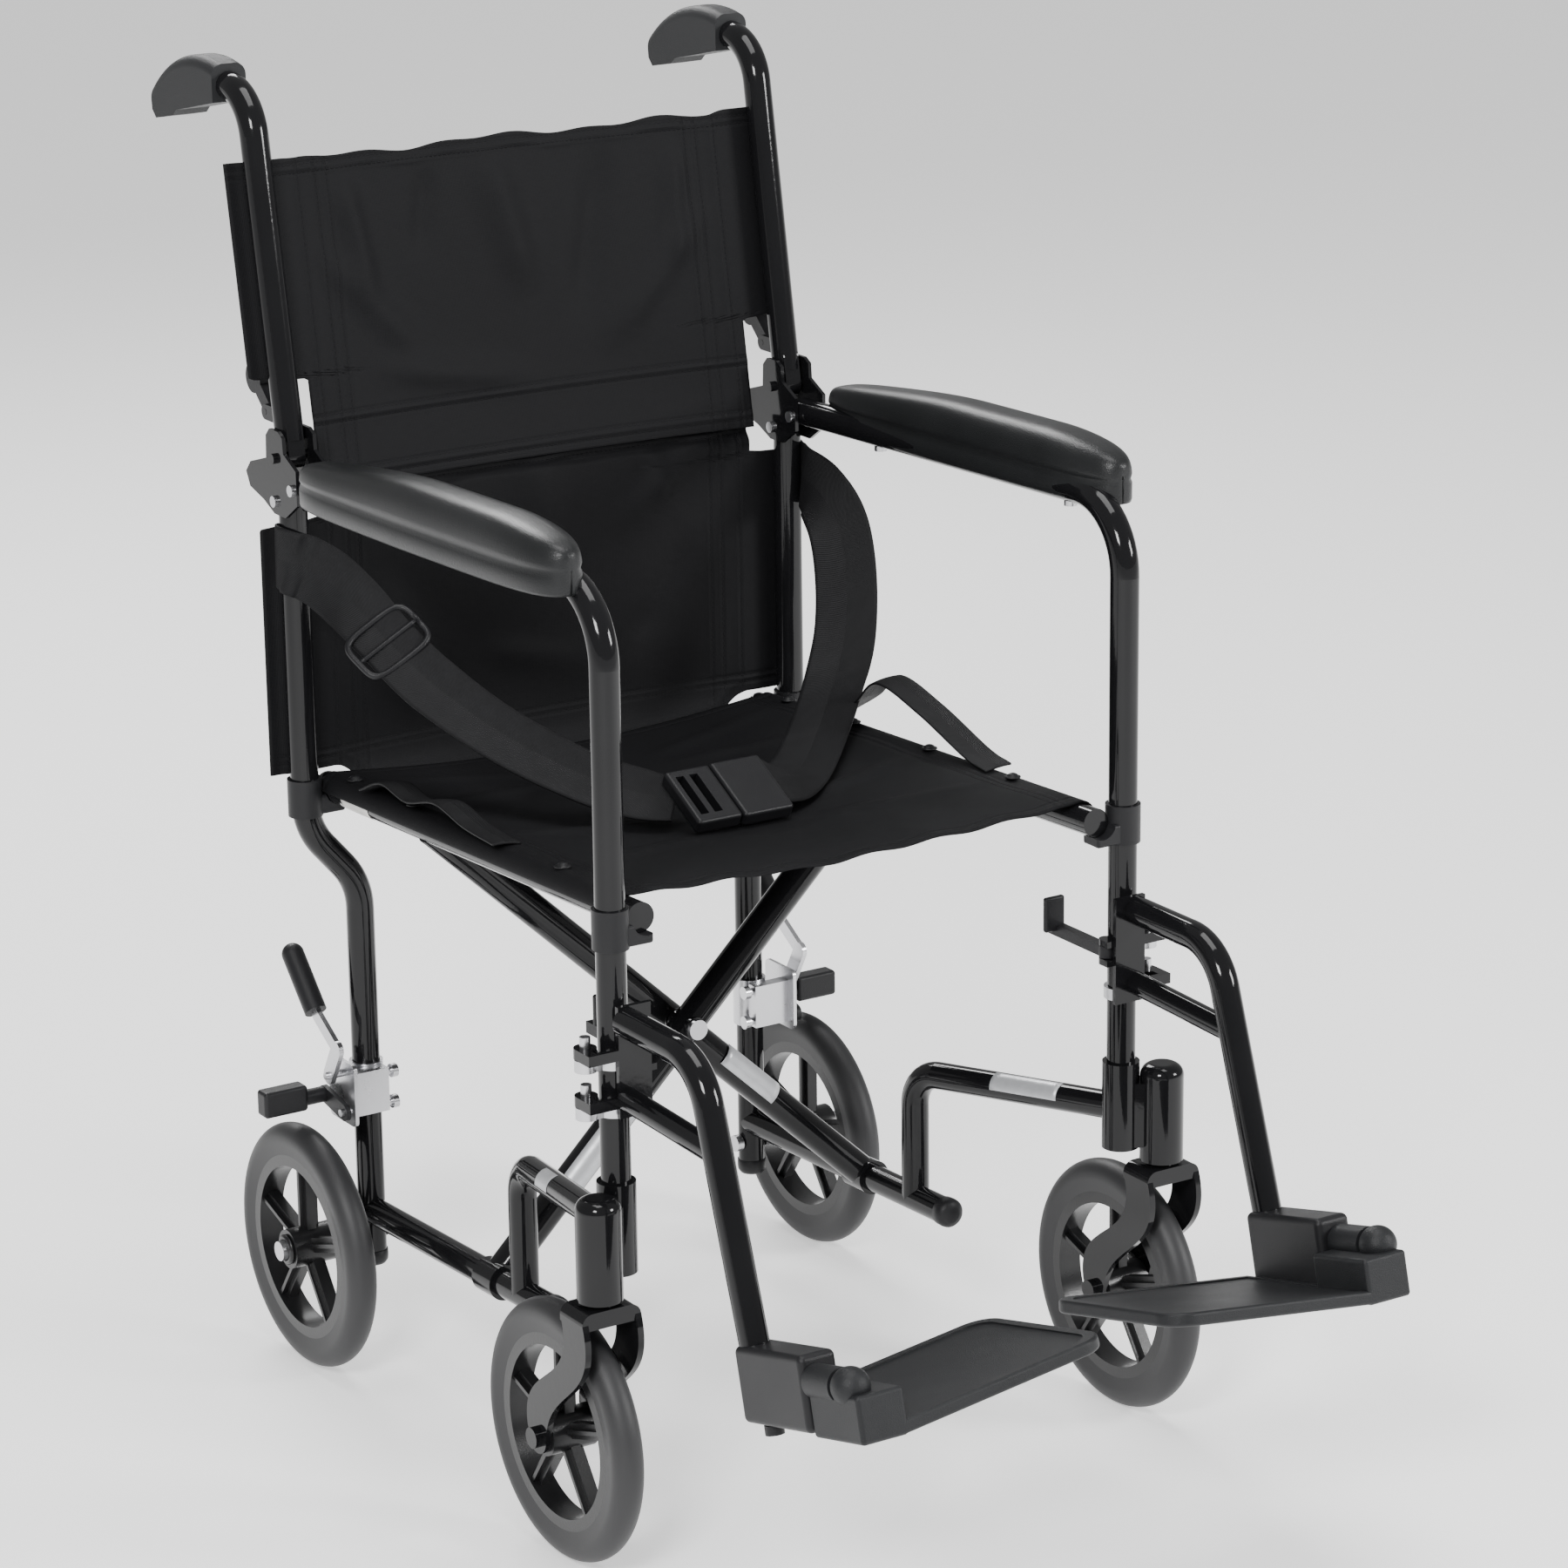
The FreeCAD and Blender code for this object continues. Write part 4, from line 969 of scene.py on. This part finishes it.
@dataclass
class LapBelt:
    """Lap belt: a strap from each rear post to the buckle on the seat, and a slider."""

    def build(self) -> None:
        """Make both straps and the slider."""
        right = Strap(
            "right_belt_webbing",
            ((-0.2300, 0.3250, 0.668), (-0.2372, 0.3160, 0.667), (-0.2330, 0.3040, 0.664),
            (-0.2200, 0.2990, 0.658),
             (-0.2080, 0.2860, 0.648), (-0.1970, 0.2620, 0.630), (-0.1860, 0.2360, 0.608),
             (-0.1690, 0.1980, 0.580),
             (-0.1400, 0.1450, 0.549), (-0.1080, 0.0880, 0.527), (-0.0790, 0.0460, 0.5165),
             (-0.0580, 0.0270, 0.5135)),
            ((0, 0, 1), (0, 0, 1), (0, 0, 1), (0, 0.1, 1), (0.15, 0.25, 0.95), (0.30, 0.45, 0.84),
             (0.35, 0.55, 0.76), (0.35, 0.65, 0.68), (0.30, 0.75, 0.58), (0.25, 0.85, 0.50),
             (0.1, 0.88, 0.47),
             (0, 0.883, 0.469)),
            (0.046, 0.050, 0.050, 0.050, 0.050, 0.048, 0.046, 0.050, 0.050, 0.050, 0.050, 0.044),
        ).build("hung", ["right_rear_post", "seat_cloth"])
        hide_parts("right_belt_strap")
        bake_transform(right)
        left = Strap(
            "left_belt_webbing",
            ((0.2300, 0.3250, 0.672), (0.2372, 0.3160, 0.672), (0.2330, 0.3030, 0.672),
            (0.2250, 0.2880, 0.672),
             (0.2240, 0.2620, 0.664), (0.2260, 0.2400, 0.640), (0.2250, 0.2280, 0.600),
             (0.2160, 0.2170, 0.555),
             (0.1900, 0.1950, 0.522), (0.1400, 0.1400, 0.505), (0.0850, 0.0780, 0.501),
             (0.0400, 0.0330, 0.511),
             (0.0180, 0.0250, 0.5135)),
            ((0, 0, 1), (0, 0, 1), (0, 0, 1), (0.1, -0.2, 1), (0.45, -0.35, 0.8), (0.8, -0.5, 0.3),
             (0.85, -0.5, 0), (0.85, -0.5, -0.1), (0.75, -0.75, 0.0), (0.62, -0.78, 0.0),
             (0.55, -0.83, -0.1),
             (0.15, -0.88, -0.45), (0, -0.883, -0.469)),
            (0.046, 0.050, 0.050, 0.050, 0.050, 0.050, 0.050, 0.050, 0.050, 0.050, 0.050, 0.050, 0.044),
        ).build("hung", ["left_rear_post", "seat_cloth"])
        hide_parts("left_belt_strap")
        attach(left, "left_frame")
        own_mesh(left)
        self.slider()

    def slider(self) -> None:
        """Make the belt's slider: a rounded rectangular ring with a cross bar, lying on the strap."""
        centre = np.array([-0.1872, 0.2355, 0.6095])
        ahead = unit_rows(np.array([0.33, -0.72, -0.60]))
        side = unit_rows(np.array([0.35, 0.55, 0.76]) - np.dot([0.35, 0.55, 0.76], ahead) * ahead)
        angle = np.linspace(0, 2 * np.pi, 80)[:, None]
        squared = [np.sign(f) * np.abs(f) ** 0.45 for f in (np.cos(angle), np.sin(angle))]
        path = centre + side * squared[0] * 0.029 + ahead * squared[1] * 0.020
        ring = Piece("belt_slider_ring", self.rod(path, 0.0026), BUCKLE_PLASTIC, "moulded_plastic",
                     closed=True, capped=True).build()
        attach(ring, "right_frame")
        bar = centre + side * np.linspace(-0.028, 0.028, 12)[:, None]
        middle = Piece("belt_slider_bar", self.rod(bar, 0.0022), BUCKLE_PLASTIC, "moulded_plastic",
                       closed=True, capped=True).build()
        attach(middle, "right_frame")

    def rod(self, path: Array, radius: float) -> Array:
        """Work out a round rod along a path, with a ring of points square to each of its points."""
        ahead = unit_rows(np.gradient(path, axis=0))
        aside = unit_rows(np.cross(ahead, [0.9, 0.1, 0.3]))
        up = np.cross(ahead, aside)
        angle = np.linspace(0, 2 * np.pi, 14, endpoint=False)
        ring = (np.cos(angle)[None, :, None] * aside[:, None, :]
                + np.sin(angle)[None, :, None] * up[:, None, :])
        return path[:, None, :] + ring * radius


@dataclass
class LiftLoops:
    """Webbing loops sewn along the seat's edges, pulled up to fold the chair."""

    inset: float = 0.203
    depth: float = 0.014

    def build(self) -> None:
        """Make a standing loop on the left side and a slack one on the right."""
        top = LAYOUT.rail_z(0.114) + LAYOUT.tube + 0.003
        shapes = {
            Side.LEFT: ((0.192, 0.000), (0.150, 0.022), (0.118, 0.043), (0.060, 0.030), (-0.005, 0.007),
                        (-0.035, 0.001)),
            Side.RIGHT: ((0.225, 0.000), (0.190, 0.012), (0.150, 0.006), (0.105, 0.014), (0.060, 0.005),
                         (0.015, 0.001)),
        }
        for side, places in shapes.items():
            route = tuple((side.value * self.inset, y + self.depth, top + rise - (y - 0.1) * LAYOUT.slope)
                          for y, rise in places)
            across = tuple((1.0, 0.0, 0.12 * side.value) for _ in places)
            loop = Strap(f"{side.word}_lift_loop", route, across, (0.024,) * len(places)).build(
                "hung", [f"{side.word}_seat_rail"])
            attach(loop, "brace_b" if side is Side.RIGHT else "brace_a")


# ------------------------------------------------------------------------------- small parts
@dataclass
class Labels:
    """Blank labels wrapped round the tubes."""

    def patch(self, name: str, start: Sequence[float], end: Sequence[float], facing: Sequence[float],
              radius: float, spread: float, finish: Foil, body: str) -> None:
        """Wrap one label over part of a tube.

        Args:
            name: the piece's name.
            start: the tube's middle at one end of the label.
            end: the tube's middle at the other end.
            facing: the way the label faces.
            radius: the tube's outer radius.
            spread: the label's width as an angle round the tube, in radians.
            finish: the label's film.
            body: the body that the tube is part of.
        """
        first, last = np.array(start, float), np.array(end, float)
        ahead = unit_rows(last - first)
        out = np.array(facing, float)
        out = unit_rows(out - np.dot(out, ahead) * ahead)
        aside = np.cross(ahead, out)
        angle = np.linspace(-spread / 2, spread / 2, 16)[None, :, None]
        share = np.linspace(0, 1, 12)[:, None, None]
        round_tube = np.cos(angle) * out + np.sin(angle) * aside
        points = first + (last - first) * share + round_tube * (radius + 0.0003)
        label = Piece(name, points, finish, "moulded_plastic").build()
        thicken(label, 0.0002)
        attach(label, body)

    def build(self) -> None:
        """Place the labels on the right seat rail, both brace arms and both risers."""
        rail = LAYOUT.rail_z
        self.patch("rail_label", (-0.199, 0.236, rail(0.236)), (-0.199, 0.280, rail(0.280)), (-1, 0, -0.62),
                   LAYOUT.tube, 1.1, PALE_LABEL, "brace_b")
        for name, sign, span in (("a", -1, (0.14, 0.36)), ("b", 1, (0.24, 0.36))):
            low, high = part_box(f"brace_arm_{name}")
            y = (low.y + high.y) / 2
            foot = np.array([sign * 0.180, y - 0.0078, 0.126])
            head = np.array([-sign * 0.199, y + 0.0078, 0.484])
            self.patch(f"brace_label_{name}", foot + (head - foot) * span[0], foot + (head - foot) * span[1],
                       (0, -1, 0.6), 0.0127, 1.6, SILVER_LABEL, f"brace_{name}")
        for side, span in ((Side.LEFT, (0.42, 0.74)), (Side.RIGHT, (0.30, 0.42))):
            knee = np.array([side.value * 0.180, 0.063, 0.236])
            end = np.array([side.value * 0.224, -0.156, 0.264])
            first, last = (knee + (end - knee) * share for share in span)
            self.patch(f"{side.word}_riser_label", first, last,
                       (-0.8, 0, 0.7), LAYOUT.tube, 1.5, SILVER_LABEL, f"{side.word}_frame")


@dataclass
class EndPlugs:
    """Moulded plugs in the open tube ends."""

    def build(self) -> None:
        """Close the front of each lower rail and the foot of each rear leg."""
        plug = [(0.0112, 0.0), (0.0119, 0.0006), (0.0121, 0.006), (0.0117, 0.0095), (0.0098, 0.0122),
            (0.0055, 0.0138),
                (0.0002, 0.0142)]
        for side in Side:
            low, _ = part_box(f"{side.word}_rear_post")
            rail_end = np.array([side.value * 0.180, 0.0225, 0.126 + (0.123 - 0.0225) * LAYOUT.slope])
            for stem, centre, axis in (
                ("rail_plug", rail_end, np.array([0.0, -1.0, LAYOUT.slope])),
                ("leg_plug", np.array([side.value * 0.180, LAYOUT.rear_y, low.z + 0.0005]),
                np.array([0.0, 0.0, -1.0])),
            ):
                part = Piece(f"{side.word}_{stem}", turned(plug, centre, axis, 36), BLOCK_PLASTIC,
                             "moulded_plastic", closed=True, capped=True).build()
                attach(part, f"{side.word}_frame")


@dataclass
class HubCaps:
    """Turned caps over the wheel bearings."""

    def build(self) -> None:
        """Put a stepped collar on the outer face of each rear hub."""
        collar = [(0.0085, 0.0), (0.0118, 0.0002), (0.0122, 0.0016), (0.0104, 0.0030), (0.0086, 0.0031)]
        for side in Side:
            low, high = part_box(f"{side.word}_rear_rim")
            outer = high.x if side is Side.LEFT else low.x
            centre = np.array([outer, (low.y + high.y) / 2, (low.z + high.z) / 2])
            rings = turned(collar, centre, np.array([side.value, 0.0, 0.0]), 40)
            part = Piece(f"{side.word}_hub_collar", rings, RIM_PLASTIC, "rim", closed=True).build()
            thicken(part, 0.0004)
            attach(part, f"{side.word}_rear_wheel")


# ------------------------------------------------------------------------------- studio
@dataclass
class Studio:
    """Pale floor, soft lights and the camera."""

    position: tuple[float, float, float] = (-1.9886, -3.2047, 1.6625)
    azimuth: float = -34.50
    elevation: float = 17.81
    lens: float = 119.9
    shift: tuple[float, float] = (-0.1344, 0.0566)

    def build(self) -> None:
        """Set up the floor, the world, the lights and the camera."""
        self.floor()
        self.world()
        self.light("key", (-2.4, -2.2, 2.6), 0.9, 120.0)
        self.light("fill", (2.4, -2.6, 1.8), 0.9, 90.0)
        self.light("back", (0.6, 3.0, 2.8), 1.4, 90.0)
        self.light("top", (0.0, -0.2, 3.6), 1.8, 70.0)
        self.camera()

    def floor(self) -> None:
        """Lay a plain pale floor."""
        bpy.ops.mesh.primitive_plane_add(size=60.0, location=(0, 0, -0.0005))
        ground = bpy.context.object
        ground.name = "floor"
        graph = Graph("pale_floor")
        tone = graph.noise(graph.place(), 0.4, 2.0)
        ground.data.materials.append(graph.finish(
            Base_Color=graph.blend(tone, (0.84, 0.84, 0.84), (0.88, 0.88, 0.88)), Roughness=0.9,
            Emission_Color=(1.0, 1.0, 1.0, 1.0), Emission_Strength=0.62))

    def world(self) -> None:
        """Fill the surroundings with even white light."""
        world = bpy.data.worlds.new("studio")
        world.use_nodes = True
        background = world.node_tree.nodes["Background"]
        background.inputs["Color"].default_value = (1.0, 1.0, 1.0, 1.0)
        background.inputs["Strength"].default_value = 0.38
        bpy.context.scene.world = world

    def light(self, name: str, place: tuple[float, float, float], size: float, power: float) -> None:
        """Hang one square area light that faces the chair."""
        data = bpy.data.lights.new(name, "AREA")
        data.size = size
        data.energy = power
        lamp = bpy.data.objects.new(name, data)
        lamp.location = place
        lamp.rotation_euler = (Vector((0, 0, 0.5)) - Vector(place)).to_track_quat("-Z", "Y").to_euler()
        bpy.context.scene.collection.objects.link(lamp)

    def camera(self) -> None:
        """Set the camera in its place, level, looking down at the chair's front right corner."""
        data = bpy.data.cameras.new("camera")
        data.lens = self.lens
        data.sensor_width = 36.0
        data.shift_x, data.shift_y = self.shift
        data.clip_end = 100.0
        azimuth, elevation = math.radians(self.azimuth), math.radians(self.elevation)
        ahead = Vector((-math.sin(azimuth) * math.cos(elevation), math.cos(azimuth) * math.cos(elevation),
                        -math.sin(elevation)))
        eye = bpy.data.objects.new("camera", data)
        eye.location = self.position
        eye.rotation_euler = ahead.to_track_quat("-Z", "Y").to_euler()
        bpy.context.scene.collection.objects.link(eye)
        bpy.context.scene.camera = eye


UPPER_FOLDS = (
    (-0.150, 0.960, -0.130, 0.840, 0.011, 0.0035), (-0.020, 0.965, 0.010, 0.830, 0.016, 0.0040),
    (0.090, 0.960, 0.050, 0.800, 0.014, -0.0030), (0.150, 0.950, 0.140, 0.840, 0.009, 0.0028),
    (-0.150, 0.800, 0.020, 0.770, 0.012, 0.0026), (0.185, 0.900, 0.060, 0.780, 0.014, 0.0030),
    (-0.185, 0.905, -0.080, 0.790, 0.013, 0.0026), (-0.070, 0.950, -0.085, 0.870, 0.010, -0.0022),
)
LOWER_FOLDS = (
    (-0.190, 0.735, -0.060, 0.640, 0.014, 0.0034), (0.190, 0.735, 0.060, 0.630, 0.014, 0.0034),
    (0.000, 0.735, 0.015, 0.600, 0.018, 0.0030), (-0.150, 0.640, -0.090, 0.520, 0.015, 0.0028),
    (0.150, 0.640, 0.080, 0.520, 0.015, -0.0026), (-0.060, 0.560, 0.070, 0.525, 0.013, 0.0022),
    (-0.110, 0.725, -0.120, 0.660, 0.009, 0.0020), (0.100, 0.720, 0.120, 0.650, 0.009, 0.0022),
)


def main() -> None:
    """Build the pieces in order."""
    logging.basicConfig(level=logging.INFO, format="%(name)s: %(message)s")
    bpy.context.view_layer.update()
    Studio().build()
    MetalAndMouldings().dress()
    for side in Side:
        ArmPad(side).build()
    SeatSling().build()
    BackPanel("back_upper", "back_panel_upper", "right_back", 0.7120, 0.964, 0.800, 0.980, True,
              UPPER_FOLDS, (0.722, 0.765, 0.955), (0.815, 0.880, 0.945)).build()
    BackPanel("back_lower", "back_panel_lower", "right_frame", 0.4890, 0.7165, 0.470, 0.688, False,
              LOWER_FOLDS, (0.708, 0.500), (0.505, 0.590, 0.675)).build()
    LapBelt().build()
    LiftLoops().build()
    Labels().build()
    EndPlugs().build()
    HubCaps().build()


if __name__ == "__main__":
    main()
